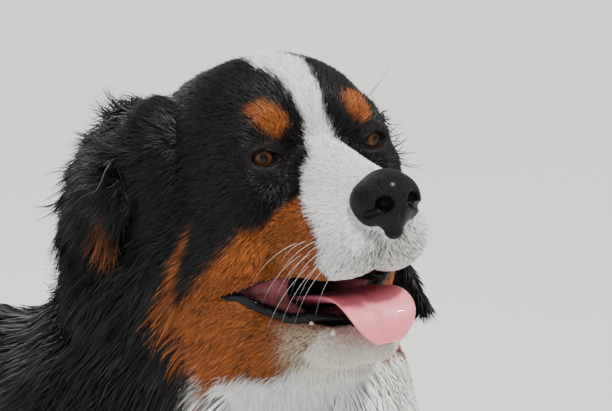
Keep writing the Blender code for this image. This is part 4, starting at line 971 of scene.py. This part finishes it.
def lip_tube(which, side):
    """One lip of one side, from behind the corner to the front."""
    share = np.linspace(0, 1, 90)
    if which == "lower":
        forward = -3.7 + 8.1 * share
        height = lip_lines(forward)[1] + 0.10 + 0.30 * np.exp(-(((forward - 1.6) / 0.8) ** 2))
        size = 0.22 + 0.24 * np.sin(np.pi * np.clip(share * 1.1, 0, 1)) ** 0.7
        sunk = 0.18
    else:
        forward = -3.7 + 11.7 * share
        height = lip_lines(forward)[0] - 0.05
        size = 0.16 + 0.05 * np.sin(np.pi * share)
        sunk = 0.22
    path = from_head(lip_path(forward, height, side, sunk))
    size = size * CM * np.minimum(1, 12 * np.minimum(share + 0.02, 1.02 - share))
    beads = 1 + 0.10 * ripple(np.stack([share * 30, share * 0, share * 0 + side], 1), 1.0, 31)[:, :1]
    beads = beads + 0.07 * np.sin(np.linspace(0, 2 * np.pi, 12, endpoint=False) * 3 + share[:, None] * 160)
    return tube(path, size * 0.85, size * 1.25, head_way((1.0, 0, 0)) + np.zeros((90, 3)), bumps=beads)


points, faces = joined_pieces([lip_tube(which, side) for which in ("lower", "upper") for side in (-1, 1)])
lips = mesh_object("lips", points, faces, np.tile(LIP_BLACK, (len(points), 1)))
finished(lips, wet_finish, "lips")

# %% [markdown]
# The tongue is a soft slab with a groove down its middle, laid over the lower lip. Its section is an
# ellipse that dips in the middle and curls up at the edges. It darkens into the shade of the mouth.

# %% Tongue
TONGUE_MIDDLE = ((-4.5, -12.4), (-1.0, -11.8), (2.5, -11.5), (5.2, -11.6), (6.9, -12.8), (7.2, -14.8))
TONGUE_HALF_WIDTHS = (1.9, 2.5, 2.9, 3.15, 2.9, 1.5)
share = np.linspace(0, 1, 70)
middle = smooth_curve(TONGUE_MIDDLE, share)
ahead = unit(np.gradient(middle, axis=0))
rise = np.stack([-ahead[:, 1], ahead[:, 0]], 1)
half = smooth_curve(np.array(TONGUE_HALF_WIDTHS)[:, None], share)[:, 0]
half = half * np.sqrt(np.clip(1 - ((share - 0.86) / 0.14).clip(0, 1) ** 2 * 0.55, 0, 1))
turn = np.linspace(0, 2 * np.pi, 48, endpoint=False)
across = np.cos(turn)[None] * half[:, None]
thick = (0.42 - 0.16 * share)[:, None] * np.sign(np.sin(turn)) * np.abs(np.sin(turn)) ** 0.7
groove = -0.16 * np.exp(-((across / 0.32) ** 2)) * (np.sin(turn) > 0)
height = thick + 0.35 * np.cos(turn)[None] ** 2 + groove
height = height + 0.05 * np.sin(across * 2.2 + 4 * share[:, None])
onward, above = (middle[:, k : k + 1] + rise[:, k : k + 1] * height for k in (0, 1))
tongue_places = np.stack([across, onward, above], -1)
first, last = tongue_places[:1].mean(1, keepdims=True), tongue_places[-1:].mean(1, keepdims=True)
tongue_places = np.concatenate([first.repeat(48, 1), tongue_places, last.repeat(48, 1)])
points = from_head(tongue_places.reshape(-1, 3))
TONGUE_PINK = np.array((0.80, 0.205, 0.250))
forward = tongue_places[..., 1].reshape(-1)
shaded = np.clip((5.6 - forward) / 3.0, 0, 1)
tint = mixed(np.tile(TONGUE_PINK, (len(points), 1)), np.array((0.30, 0.07, 0.11)), shaded)
tongue = mesh_object("tongue_fine", points, outward_faces(points, grid_faces(72, 48, True)), tint)
WET_PINK = {"Subsurface_Weight": 0.15, "Coat_Weight": 0.15}
tongue_finish = coloured("tongue", 0.46, 900, 0.93, 1.07, 0.5, 0.0006, **WET_PINK)
finished(tongue, tongue_finish, "tongue", "tongue")

# %% [markdown]
# The nose leather is made like the skin, on a much finer grid, with pebbled bump.

# %% Nose leather
nose_middle = from_head((0, 9.1, -3.6))
nose_axes = tuple(np.arange(c - 0.042, c + 0.042, 0.0008).astype(np.float32) for c in nose_middle)
points, faces = surface_net(nose_form, nose_axes)
points = points - way_out(nose_form, points, 0.0004) * np.clip(nose_form(points), -0.001, 0.001)[:, None]
nostril = np.linalg.norm(folded(to_head(points), 0.0) - (1.28, 10.8, -3.8), axis=1)
NOSE_BLACK = np.array((0.0045, 0.0042, 0.0050))
# Painted shade in the nostrils: round and inside them the leather darkens to a fifth of its black.
nose_black_and_nostril_shade = mixed(np.tile(NOSE_BLACK, (len(points), 1)), NOSE_BLACK * 0.2, np.clip(1.5 - nostril * 1.5, 0, 1))
nose = mesh_object("nose_leather", points, faces, nose_black_and_nostril_shade)
NOSE_SHINE = {"Specular_IOR_Level": 0.10, "Coat_Weight": 0.08, "Coat_Roughness": 0.20}
nose_finish, tree, shader = material("nose leather", (0.02, 0.02, 0.022), 0.42, **NOSE_SHINE)
place = tree.nodes.new("ShaderNodeTexCoord")
pebbles = node(tree, "ShaderNodeTexVoronoi", Scale=900)
pebbles.feature = "F1"
tree.links.new(place.outputs["Object"], pebbles.inputs["Vector"])
varied(tree, shader, kept_colour(tree), pebbles.outputs["Distance"], 1.25, 0.7)
bump(tree, shader, pebbles.outputs["Distance"], 0.8, -0.0008)
finished(nose, nose_finish, "nose_leather", "nose")
print("nose", triangles_of(nose), "triangles")

# %% [markdown]
# An eye is a ball whose front swells into the cornea. Pupil, iris and the dark ring at its rim depend
# only on the angle from the gaze, so a number kept on the mesh carries that angle to the colours. A
# clear coat makes the wet highlight. The lids are a second surface over the ball: an almond opening
# with a thick dark rim, drawn outward until it sinks under the skin of the face.

# %% Eyes and lids
EYEBALL_RADIUS = 1.25
GAZE_OUT = 20.0


def eye_frame(side):
    """Centre, gaze, way to the outer corner and way up of one eye, in the head's frame."""
    out = math.radians(GAZE_OUT)
    gaze = np.array((side * math.sin(out), math.cos(out), 0.0))
    across = np.array((side * math.cos(out), -math.sin(out), 0.0))
    place = np.array((side * EYE_PLACE[0], EYE_PLACE[1], EYE_PLACE[2]))
    return place, gaze, across, np.array((0.0, 0.0, 1.0))


def eyeball(side):
    """Points by angle from the gaze and turn about it: radius plus a swell over the iris."""
    centre, gaze, across, up = eye_frame(side)
    angle = np.linspace(0, np.pi, 60)[:, None]
    turn = np.linspace(0, 2 * np.pi, 64, endpoint=False)[None]
    radius = EYEBALL_RADIUS + 0.07 * np.exp(-((angle / 0.48) ** 4))
    spots = gaze * (np.cos(angle) + 0 * turn)[..., None]
    spots = spots + (across * np.cos(turn)[..., None] + up * np.sin(turn)[..., None]) * np.sin(angle)[..., None]
    return from_head((centre + spots * radius[..., None]).reshape(-1, 3)), (angle + 0 * turn).reshape(-1)


EYE_RINGS = (0.0, 0.25, 0.30, 0.40, 0.54, 0.64, 0.70, 0.95, 3.2)
EYE_TINTS = np.array((
    (0.001, 0.001, 0.001), (0.002, 0.001, 0.001), (0.025, 0.009, 0.002), (0.085, 0.027, 0.005),
    (0.06, 0.018, 0.004),
    (0.02, 0.007, 0.002), (0.006, 0.004, 0.004), (0.035, 0.018, 0.015), (0.05, 0.025, 0.02),
))
EYE_SHINE = {"Specular_IOR_Level": 0.15, "Coat_Weight": 0.25, "Coat_Roughness": 0.02}
eye_finish, tree, shader = material("brown eye", (0.1, 0.04, 0.01), 0.25, **EYE_SHINE)
streaks = noise(tree, 900, 2.0)
varied(tree, shader, kept_colour(tree), streaks.outputs["Fac"], 0.75, 1.3)
for side, name in ((1, "left"), (-1, "right")):
    points, angle = eyeball(side)
    tint = np.stack([np.interp(angle, EYE_RINGS, EYE_TINTS[:, k]) for k in range(3)], 1)
    eye = mesh_object("eyeball_" + name, points, outward_faces(points, grid_faces(60, 64, True)), tint)
    finished(eye, eye_finish, "eyes", "eye_" + name)

LID_HALF_WIDTH, LID_TOP, LID_BOTTOM, LID_SAG, LID_TILT = 1.44, 0.80, 0.28, 0.27, -0.03


def lids(side):
    """Both lids of one eye by turn and by a share outward. The rim is an almond with low corners:
    it rises from the outer corner in a straight slope. From the rim a section goes over the lid's
    thickness, a crease and then widens and sinks below the face."""
    centre, gaze, across, up = eye_frame(side)
    turn = np.linspace(0, 2 * np.pi, 96, endpoint=False)[None]
    out = np.linspace(0, 1, 18)[:, None]
    reach = 0.85 * out**1.1
    arch = np.abs(np.sin(turn)) * (1 - 0.30 * np.abs(np.cos(turn)) ** 1.6)
    upper = LID_TOP * arch * (1 - 0.24 * np.maximum(np.cos(turn), 0))
    rim = np.where(np.sin(turn) > 0, upper, -LID_BOTTOM * arch) - LID_SAG
    right = (LID_HALF_WIDTH + reach) * np.cos(turn)
    high = rim + reach * 0.85 * np.sin(turn) + LID_TILT * right
    lift = 0.03 + 0.20 * np.sin(np.pi * np.minimum(out / 0.26, 0.5)) + 0.12 * out
    crease = -0.09 * np.exp(-(((out - 0.50) / 0.09) ** 2)) * (np.sin(turn) > 0.1)
    radius = EYEBALL_RADIUS + lift + crease
    deep = np.sqrt(np.maximum(radius**2 - 0.62 * right**2 - high**2, 0.03)) - 0.9 * np.clip(out - 0.62, 0, 1)
    spots = across * right[..., None] + up * high[..., None] + gaze * deep[..., None]
    return from_head((centre + spots).reshape(-1, 3))


pieces = []
for side in (1, -1):
    points = lids(side)
    faces = grid_faces(18, 96, True)
    normal = np.cross(points[faces[:, 1]] - points[faces[:, 0]], points[faces[:, 2]] - points[faces[:, 0]])
    ahead = head_way(eye_frame(side)[1])
    pieces.append((points, faces if (normal @ ahead).sum() > 0 else faces[:, ::-1]))
points, faces = joined_pieces(pieces)
LID_BLACK = np.array((0.004, 0.0035, 0.0035))
lid_piece = mesh_object("eyelids", points, faces, np.tile(LID_BLACK, (len(points), 1)))
lid_finish = coloured("lid leather", 0.5, 700, 0.7, 1.3, 0.4, 0.0008, Specular_IOR_Level=0.12)
finished(lid_piece, lid_finish, "lips")

# %% [markdown]
# Teeth show only along the lower jaw, as small ivory cones. Claws are dark, bent cones at the toes.
# Both are tubes along short curved paths, thick at the root and fine at the tip.

# %% Teeth and claws


def cone(base, tip, radius, bend, steps=8, around=8):
    """A bent cone: the path bows by a parabola, and the radius falls as the root of what is left."""
    share = np.linspace(0, 1, steps)[:, None]
    base, tip, bend = np.asarray(base), np.asarray(tip), np.asarray(bend)
    path = base + (tip - base) * share + bend * 4 * share * (1 - share)
    size = radius * np.sqrt(np.clip(1 - share[:, 0] ** 1.6, 0.02, 1))
    helper = np.array((1.0, 0.0, 0.0)) + np.zeros((steps, 3))
    return tube(path, size, size, helper, around)


teeth = []
for side in (-1, 1):
    base, tip = from_head((side * 2.3, 3.2, -14.8)), from_head((side * 2.4, 3.5, -13.6))
    teeth.append(cone(base, tip, 0.0040, (0, 0, 0)))
    for forward in (1.4, 0.1, -1.2):
        lift = 0.33 * (1.4 - forward)
        base, tip = from_head((side * 3.0, forward, -14.0 + lift)), from_head((side * 3.1, forward, -12.9 + lift))
        teeth.append(cone(base, tip, 0.0042, (0, 0, 0)))
points, faces = joined_pieces(teeth)
ivory = grained("tooth ivory", (0.78, 0.70, 0.55), 0.25, 500, 0.1, 0.0004, Coat_Weight=0.5)
finished(mesh_object("teeth_fine", points, faces), ivory, "teeth")

claws = []
for (x, y), width in ((FORE_PAW, 0.042), (HIND_PAW, 0.039)):
    for side in (-1, 1):
        for toe in (-1.5, -0.5, 0.5, 1.5):
            reach = 0.036 - 0.007 * abs(toe)
            middle = side * (x + toe * width * 0.46)
            base, tip = (middle, y - reach - 0.014, 0.022), (middle, y - reach - 0.034, 0.0045)
            claws.append(cone(base, tip, 0.0046, (0, -0.001, 0.003), 10, 10))
points, faces = joined_pieces(claws)
horn = grained("claw horn", (0.035, 0.028, 0.024), 0.35, 260, 0.2, 0.0006, 2.0, Coat_Weight=0.2)
finished(mesh_object("claws_fine", points, faces), horn, "claws")
print(len(teeth), "teeth and", len(claws), "claws")

# %% [markdown]
# The coat. Particle hair is lost in an export, so each tuft is a thin blade of mesh: a path that
# starts just under the base, rises and lies over, with a width that tapers to a point. A blade is
# rolled a little about its path, so that neighbours catch the light differently. Smooth noise turns
# neighbouring blades together into locks.

# %% Roots on the skin
triangles = np.concatenate([skin_quads[:, [0, 1, 2]], skin_quads[:, [0, 2, 3]]])
corners = skin_points[triangles]
area = np.linalg.norm(np.cross(corners[:, 1] - corners[:, 0], corners[:, 2] - corners[:, 0]), axis=1) / 2
centres = corners.mean(1)
centre_head = to_head(centres)
centre_depth = coat_at(centres)[0]
centre_mouth = in_mouth[triangles].max(1)
centre_ear = ear_near[triangles].mean(1)
centre_out = skin_out[triangles].mean(1)
print("skin area %.2f square metres" % area.sum())

bare = centre_mouth > 0.10
bare |= nose_domes(centres) < 0.0012
eye_out = np.array((math.sin(math.radians(GAZE_OUT)), math.cos(math.radians(GAZE_OUT)), 0))
from_eye = np.abs(centre_head) * (1, 0, 0) + centre_head * (0, 1, 1) - EYE_PLACE
from_gaze = from_eye @ np.array((eye_out[1], -eye_out[0], 0))
almond = np.sqrt((from_gaze / 1.72) ** 2 + ((from_eye[:, 2] - 0.02) / 0.92) ** 2)
bare |= (almond < 1) & (np.abs(from_eye @ eye_out) < 2.4)
bare |= (centres[:, 2] < 0.012) & (centre_out[:, 2] < -0.2)


def roots(count, wanted, seed):
    """Random places over the skin: triangles drawn by area times how much coat is wanted there."""
    draw = np.random.default_rng(seed)
    weight = area * wanted * ~bare
    chosen = draw.choice(len(triangles), count, p=weight / weight.sum())
    one, two = draw.random((2, count, 1))
    one, two = np.where(one + two > 1, 1 - one, one), np.where(one + two > 1, 1 - two, two)
    a, b, c = (corners[chosen, k] for k in range(3))
    return a + one * (b - a) + two * (c - a), chosen


# %% [markdown]
# Each tuft keeps a small patch on a picture of the skin, for the export: the skin is unwrapped limb by
# limb, each by its length and the turn about its own axis, into a rectangle of its own.

# %% Unwrap of the skin
REGIONS = {
    "head": (0.00, 0.50, 0.00, 0.50),
    "ear": (0.50, 0.75, 0.00, 0.50),
    "neck": (0.75, 1.00, 0.00, 0.50),
    "trunk": (0.00, 0.50, 0.50, 1.00),
    "fore": (0.50, 0.70, 0.50, 1.00),
    "hind": (0.70, 0.90, 0.50, 1.00),
    "tail": (0.90, 1.00, 0.50, 1.00),
}


def turn_share(across, ahead):
    """A turn about an axis as a share from 0 to 1."""
    return np.arctan2(across, ahead) / (2 * np.pi) + 0.5


def unwrapped(points):
    """(u, v) of each place: the nearest limb's rectangle, with length one way and turn the other."""
    q = to_head(points)
    x, y, z = points[:, 0], points[:, 1], points[:, 2]
    high = z > 0.6
    far = np.full(len(points), 9.0)
    forms = np.stack([
        np.where(high, head_form(points), far), np.where(high, ear_form(points) * 2, far), neck_form(points),
        trunk_form(points), foreleg_form(points), hindleg_form(points), tail_form(points),
    ])
    part = forms.argmin(0)
    left = (x > 0) * 0.5
    ear_side = (q[:, 0] > 0) * 0.5
    ear_out = (np.abs(q[:, 0]) > 11.3) * 0.25
    length = [
        (q[:, 1] + 18) / 30, (q[:, 2] + 14) / 20, (z - 0.45) / 0.5, (y + 0.4) / 0.8,
        z / 0.5, z / 0.5, (z - 0.1) / 0.52,
    ]
    turn = [
        turn_share(q[:, 0], q[:, 2] + 5), ear_side + ear_out + np.clip((q[:, 1] + 21) / 14, 0, 1) * 0.24,
        turn_share(x + 0.02, -(y + 0.25)), turn_share(x, z - 0.5),
        left + 0.49 * turn_share(np.abs(x) - 0.09, -(y + 0.175)),
        left + 0.49 * turn_share(np.abs(x) - 0.1, -(y - 0.27)),
        turn_share(x, y - 0.46),
    ]
    corner = np.array(list(REGIONS.values()))
    low_u, high_u, low_v, high_v = corner[part].T
    along = np.clip(np.choose(part, length), 0, 1)
    round_it = np.clip(np.choose(part, turn), 0, 1)
    across = low_u + 0.004 + (high_u - low_u - 0.008) * round_it
    return np.stack([across, low_v + 0.004 + (high_v - low_v - 0.008) * along], 1)


# %% Blades


def blades(paths, side, widths, tints, root_uv, patch=0.003):
    """Points, faces, colours and patches of many blades at once: two points on each side of the path
    at every step, and one at the tip. Faces are quads, and a triangle at the tip."""
    count, steps = paths.shape[:2]
    left = paths[:, :-1] - side[:, :-1] * widths[:, :-1, None] / 2
    right = paths[:, :-1] + side[:, :-1] * widths[:, :-1, None] / 2
    points = np.concatenate([np.stack([left, right], 2).reshape(count, -1, 3), paths[:, -1:]], 1)
    each = points.shape[1]
    ring = np.arange(steps - 2)[:, None] * 2
    quads = ring + np.array((0, 1, 3, 2))
    last = (steps - 2) * 2
    faces = np.concatenate([quads, [(last, last + 1, last + 2, -1)]])
    many = faces[None] + (np.arange(count) * each)[:, None, None]
    many = np.where(faces[None] < 0, -1, many).reshape(-1, 4)
    share = np.linspace(0, 1, steps)
    colours = np.concatenate([np.repeat(tints[:, :-1], 2, 1), tints[:, -1:]], 1)
    flat_u = np.concatenate([np.tile((-0.5, 0.5), steps - 1), (0.0,)])
    flat_v = np.concatenate([np.repeat(share[:-1], 2), share[-1:]]) - 0.5
    uv = root_uv[:, None] + patch * np.stack([flat_u, flat_v], 1)[None]
    return points.reshape(-1, 3), many, colours.reshape(-1, 3), uv.reshape(-1, 2)


def rolled(paths, ups, roll):
    """The way across each blade: ahead times up, turned about ahead by the blade's own roll."""
    ahead = unit(np.gradient(paths, axis=1))
    across = unit(np.cross(ahead, ups))
    high = np.cross(across, ahead)
    return across * np.cos(roll)[:, None, None] + high * np.sin(roll)[:, None, None]


def tinted(points, steps, rough_seed, painted_root_shade, painted_tip_light, ragged=0.10):
    """Colours along each blade: its marking, its own random tone, then painted shade at the root and painted light
    towards the tip.
    """
    draw = np.random.default_rng(rough_seed)
    colour, white = markings(points, ragged, rough_seed)
    rust = np.clip((colour[:, 0] - 0.1) / 0.25, 0, 1) * (1 - white)
    spread = 0.36 * (1 - white) * (1 - 0.25 * rust) + 0.06 * white
    shade = np.exp(draw.normal(0, 1, len(points)) * spread)
    colour = colour * np.minimum(shade, 2.4)[:, None]
    dark_hair = draw.random(len(points)) < 0.14 * rust
    colour = mixed(colour, BLACK * 1.6, dark_hair * 0.85)
    peppered = draw.random(len(points)) < pepper(points) * (white > 0.5)
    colour = mixed(colour, np.array((0.05, 0.045, 0.045)), peppered * draw.uniform(0.5, 1.0, len(points)))
    share = np.linspace(0, 1, steps)[None, :, None]
    # Painted shade darkens each blade towards its root, deep in the coat, and painted light lightens its tip; white
    # hair less so.
    low = painted_root_shade + (0.82 - painted_root_shade) * white[:, None, None]
    high = painted_tip_light + (1.02 - painted_tip_light) * white[:, None, None]
    return np.clip(colour[:, None] * (low + (high - low) * share**0.7), 0, 0.93)


# %% Short fur


def eye_distance(points):
    """How far each place is from the nearer eye, as a multiple of the lids' own almond."""
    q = to_head(points)
    away = np.abs(q) * (1, 0, 0) + q * (0, 1, 1) - EYE_PLACE
    sideways = away @ np.array((eye_out[1], -eye_out[0], 0))
    return np.sqrt((sideways / 1.72) ** 2 + (away[:, 2] / 0.92) ** 2 + (np.minimum(away @ eye_out, 0) / 1.5) ** 2)


def short_fur(count, wanted, length, width, rise, seed, steps=3, flow=0.35, roll=0.5, curl=0.0):
    """Blades on the base: root plus heading times length plus out times rise, bowed over; a curl adds
    a sine wave sideways that grows to the tip. Length and width are a base and a share of the depth."""
    draw = np.random.default_rng(seed)
    places, chosen = roots(count, wanted, seed)
    up = unit(skin_out[triangles[chosen]].mean(1))
    depth, lie = coat_at(places)
    ear_share = np.clip(1 - centre_ear[chosen] / 0.004, 0, 1)[:, None]
    foot = np.clip((2.0 - to_head(places)[:, 2:]) / 8, 0, 1)
    mirror = np.where(to_head(places)[:, :1] < 0, 1.0, -1.0) * np.array((1.0, 0, 0)) + np.array((0, 1.0, 1.0))
    ear_lie = (np.array(EAR_LIE_TOP) * (1 - foot) + np.array(EAR_LIE_FOOT) * foot) * mirror
    lie = lie * (1 - ear_share) + head_way(ear_lie) * ear_share
    heading = lie + ripple(places, 0.022, seed + 1) * flow + ripple(places, 0.006, seed + 2) * flow * 0.5
    heading = heading + draw.normal(0, 0.10, (count, 3))
    heading = unit(heading - up * (heading * up).sum(-1, keepdims=True))
    near_lip = np.clip(mouth_opening(folded(to_head(places), 0.4)) / 1.6, 0.28, 1)
    near_eye = np.clip((eye_distance(places) - 0.8) / 1.2, 0.35, 1)
    long = (length[0] + depth * length[1]) * draw.uniform(0.75, 1.25, count) * near_lip * near_eye
    tall = rise * depth * draw.uniform(0.5, 1.2, count) * (1 - UNDERCOAT) * near_lip * near_eye + 0.0003
    share = np.linspace(0, 1, steps)[None, :, None]
    paths = places[:, None] + heading[:, None] * long[:, None, None] * share
    paths = paths + up[:, None] * (tall[:, None, None] * share ** 0.8 - 0.0006 * (1 - share))
    if curl:
        across = np.cross(heading, up)
        wave = np.sin(share[..., 0] * 5.0 + ripple(places, 0.012, seed + 4)[:, :1] * 4.0) * share[..., 0]
        paths = paths + across[:, None] * (curl * wave)[..., None]
    paths[..., 2] = np.maximum(paths[..., 2], 0.0008)
    side = rolled(paths, np.repeat(up[:, None], steps, 1), draw.normal(0, roll, count))
    wide = (width[0] + depth * width[1]) * draw.uniform(0.75, 1.25, count)
    widths = wide[:, None] * np.interp(np.linspace(0, 1, steps), (0, 0.3, 0.7, 1), (0.8, 1, 0.7, 0))[None]
    tints = tinted(places, steps, seed + 3, 0.45, 1.35)
    return blades(paths, side, widths, tints, unwrapped(places))


# %% Long coat


def long_coat(count, wanted, length, width, seed, steps=5, wave=0.5, roll=0.5, rise=1.0, droop=0.25):
    """Blades that follow the body: at each step they go on along the lie and are set back to their
    height over the base, which grows from just under it to the coat's full depth."""
    draw = np.random.default_rng(seed)
    points, _ = roots(count, wanted, seed)
    start = points
    long = length * draw.uniform(0.7, 1.25, count)[:, None]
    tips = coat_at(points)[0] * (1 - UNDERCOAT) * rise * draw.uniform(0.55, 1.0, count)
    lock = ripple(points, 0.030, seed + 1) * wave + ripple(points, 0.010, seed + 2) * wave * 0.5
    heights = np.interp(np.linspace(0, 1, steps), (0, 0.2, 0.45, 0.7, 1), (-0.06, 0.35, 0.7, 0.92, 1.0))
    paths, ups = [], []
    for k in range(steps):
        up = way_out(base_form, points, 0.003)
        bend = ripple(points + start * 0.3, 0.024, seed + 5) * wave * 0.6
        heading = coat_at(points)[1] + lock * 0.7 + bend + np.array((0, 0, -droop * k / steps))
        heading = unit(heading - up * (heading * up).sum(-1, keepdims=True))
        if k:
            points = points + heading * long / (steps - 1)
        value = base_form(points)
        points = points + up * np.clip(tips * heights[k] - value, -0.02, 0.02)[:, None]
        paths.append(points)
        ups.append(up)
    paths, ups = np.stack(paths, 1), np.stack(ups, 1)
    paths[..., 2] = np.maximum(paths[..., 2], 0.001)
    side = rolled(paths, ups, draw.normal(0, roll, count))
    wide = width * draw.uniform(0.7, 1.3, count)
    widths = wide[:, None] * np.interp(np.linspace(0, 1, steps), (0, 0.25, 0.6, 1), (0.8, 1, 0.75, 0))[None]
    return blades(paths, side, widths, tinted(start, steps, seed + 3, 0.40, 1.35), unwrapped(start))


# %% [markdown]
# How much coat goes where. The face has the finest and shortest tufts, most of them near the eyes and
# on the muzzle. The neck, breast, thighs and tail have the long coat, in wider blades. The legs are
# smooth, with short tufts that break their outline.

# %% The coat of each region
on_head = (centre_head[:, 1] > -17) & (centre_head[:, 2] > -17.5) & (centres[:, 2] > 0.66)
is_ear = centre_ear < 0.002
muzzle_place = on_head & (centre_head[:, 1] > -0.5)
face_place = on_head & ~is_ear & ~muzzle_place & (centre_depth < 0.024)
leg_place = (centres[:, 2] < 0.34) & (centre_depth < 0.026)
long_place = ~leg_place & ~is_ear & ~muzzle_place & (centre_depth > 0.0135)
front_place = long_place & (centres[:, 1] < -0.16) & (centres[:, 2] > 0.50)

thin = 1.0
ear_fringe = is_ear & (in_ear(centre_head)[:, 2] > -5.5)
STRAND = {"steps": 6, "flow": 0.35, "roll": 0.4, "curl": 0.0035}
SHORT_FUR = (
    ("fur_muzzle", 60000, muzzle_place, (0.0040, 0.8), (0.00050, 0.03), 0.75, 101, {}),
    ("fur_face_a", 62000, face_place, (0.006, 1.1), (0.00058, 0.04), 0.7, 111, {}),
    ("fur_face_b", 62000, face_place, (0.006, 1.1), (0.00058, 0.04), 0.7, 121, {}),
    ("fur_ears", 40000, is_ear, (0.015, 0), (0.0008, 0), 0.2, 131, {"flow": 0.3}),
    ("fur_ear_strands", 15000, ear_fringe, (0.032, 0), (0.0009, 0), 0.25, 136, STRAND),
    ("fur_legs", 50000, leg_place, (0.007, 1.3), (0.0011, 0.05), 0.8, 141, {}),
)
LONG_COAT = (
    ("coat_front_a", 23000, front_place, 0.060, 0.0019, 201),
    ("coat_front_b", 23000, front_place, 0.052, 0.0017, 211),
    ("coat_body_a", 24000, long_place & ~front_place, 0.070, 0.0038, 221),
    ("coat_body_b", 24000, long_place & ~front_place, 0.062, 0.0034, 231),
)
coat_pieces = {}
for name, count, place, length, width, rise, seed, more in SHORT_FUR:
    coat_pieces[name] = short_fur(int(count * thin), place * 1.0, length, width, rise, seed, **more)
for name, count, place, length, width, seed in LONG_COAT:
    coat_pieces[name] = long_coat(int(count * thin), place * 1.0, length, width, seed)
fur_finish = coloured("coat hair", 0.46, 1500, 0.88, 1.12, 0.15, 0.0004, Specular_IOR_Level=0.20)
coat_total = 0
for name, (points, faces, colours, uvs) in coat_pieces.items():
    made = mesh_object(name, points, faces, colours, uvs)
    finished(made, fur_finish, "coat")
    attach(made, "root")
    count = int((faces[:, 3] >= 0).sum() * 2 + (faces[:, 3] < 0).sum())
    coat_total += count
    print(name, count, "triangles")
print("coat in all", coat_total, "triangles")

# %% [markdown]
# Whiskers are stiff single hairs from the upper lip, and a few dark ones over each brow. Each is a
# hair-thin tube along a bowed path.

# %% Whiskers


def whisker(root, tip, bow, radius):
    """A thin tapering tube from root to tip that bows by a parabola; all in the head's frame."""
    share = np.linspace(0, 1, 14)[:, None]
    root, tip, bow = np.asarray(root), np.asarray(tip), np.asarray(bow)
    path = root + (tip - root) * share + bow * 4 * share * (1 - share)
    size = radius * (1.05 - share[:, 0])
    return tube(from_head(path), size, size, head_way((0.0, 0.0, 1.0)) + np.zeros((14, 3)), 4)


hairs = []
draw = np.random.default_rng(41)
for side in (-1, 1):
    for row in range(3):
        for k in range(4):
            forward, up = 7.6 - 1.1 * k + 0.3 * row, -6.0 - 0.85 * row - 0.1 * k
            root = lip_path(np.array([forward]), np.array([up]), side, 0.1)[0]
            reach = draw.uniform(3.5, 6.2)
            tip = root + np.array((side * reach * 0.55, -reach * (0.35 + 0.2 * k / 3), -reach * (0.55 + 0.2 * row)))
            hairs.append(whisker(root, tip, (side * 0.5, 0.3, 0.5), 0.00017))
points, faces = joined_pieces(hairs)
white_hair = grained("white whisker", (0.85, 0.84, 0.80), 0.35, 300, 0.05, 0.0002)
finished(mesh_object("whiskers", points, faces), white_hair, "whiskers")
hairs = []
for side in (-1, 1):
    for k in range(4):
        root = np.array((side * (3.4 + 0.5 * k), 0.3 - 0.3 * k, 2.6 + 0.2 * k))
        tip = root + np.array((side * (1.2 + 0.6 * k), 2.6 - 0.5 * k, 2.4 + 0.4 * k))
        hairs.append(whisker(root, tip, (0, 0.4, -0.3), 0.00018))
points, faces = joined_pieces(hairs)
dark_hair = grained("dark whisker", (0.03, 0.025, 0.025), 0.4, 300, 0.05, 0.0002)
finished(mesh_object("brow_whiskers", points, faces), dark_hair, "whiskers")

# %% [markdown]
# Everything rides on the one body of the model.

# %% Riding on the frame
for thing in list(bpy.data.objects):
    if thing.type == "MESH" and thing.parent is None and thing.name not in frame["nodes"]:
        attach(thing, "root")

# %% [markdown]
# A photographer's view: the camera stands three metres off at the dog's right front, a little above
# its eyes, with a long lens. The light is high and from the camera's right, over a plain pale floor.

# %% Floor, light and camera
FLOOR_HALF = 30.0
mesh = bpy.data.meshes.new("floor")
floor_corners = [(x * FLOOR_HALF, y * FLOOR_HALF, 0) for x, y in ((-1, -1), (1, -1), (1, 1), (-1, 1))]
mesh.from_pydata(floor_corners, [], [(0, 1, 2, 3)])
floor = bpy.data.objects.new("floor", mesh)
bpy.context.scene.collection.objects.link(floor)
floor.data.materials.append(material("pale floor", (0.72, 0.72, 0.70), 0.8)[0])

world = bpy.data.worlds.new("studio")
world.use_nodes = True
world.node_tree.nodes["Background"].inputs["Color"].default_value = (0.86, 0.90, 0.96, 1)
world.node_tree.nodes["Background"].inputs["Strength"].default_value = 0.55
bpy.context.scene.world = world


def lamp(name, kind, way, power, spread, colour):
    """A soft sun, or a square area light, that shines from a way onto the middle of the head."""
    light = bpy.data.lights.new(name, kind)
    light.energy = power
    light.color = colour
    if kind == "SUN":
        light.angle = spread
    else:
        light.size = spread
    made = bpy.data.objects.new(name, light)
    made.location = Vector(EYES_MIDDLE + SHIFT) + Vector(way)
    made.rotation_euler = Vector(way).to_track_quat("Z", "Y").to_euler()
    bpy.context.scene.collection.objects.link(made)
    return made


lamp("key", "SUN", (-0.05, -1.2, 2.1), 5.0, 0.12, (1.0, 0.965, 0.91))
lamp("fill", "AREA", (-3.0, -0.4, 0.6), 30, 2.5, (0.93, 0.96, 1.0))
lamp("rim", "AREA", (1.0, 2.6, 1.4), 45, 2.0, (1.0, 1.0, 1.0))

CAMERA_AWAY, CAMERA_UP = math.radians(55), math.radians(12)
level = math.cos(CAMERA_UP)
look = np.array((math.sin(CAMERA_AWAY) * level, math.cos(CAMERA_AWAY) * level, -math.sin(CAMERA_UP)))
camera_data = bpy.data.cameras.new("camera")
camera_data.sensor_width = 36
camera_data.lens = 227.6
camera = bpy.data.objects.new("camera", camera_data)
camera.location = np.array((-2.466, -2.066, 1.4525)) + SHIFT
camera.rotation_euler = Vector(look).to_track_quat("-Z", "Y").to_euler()
bpy.context.scene.collection.objects.link(camera)
bpy.context.scene.camera = camera
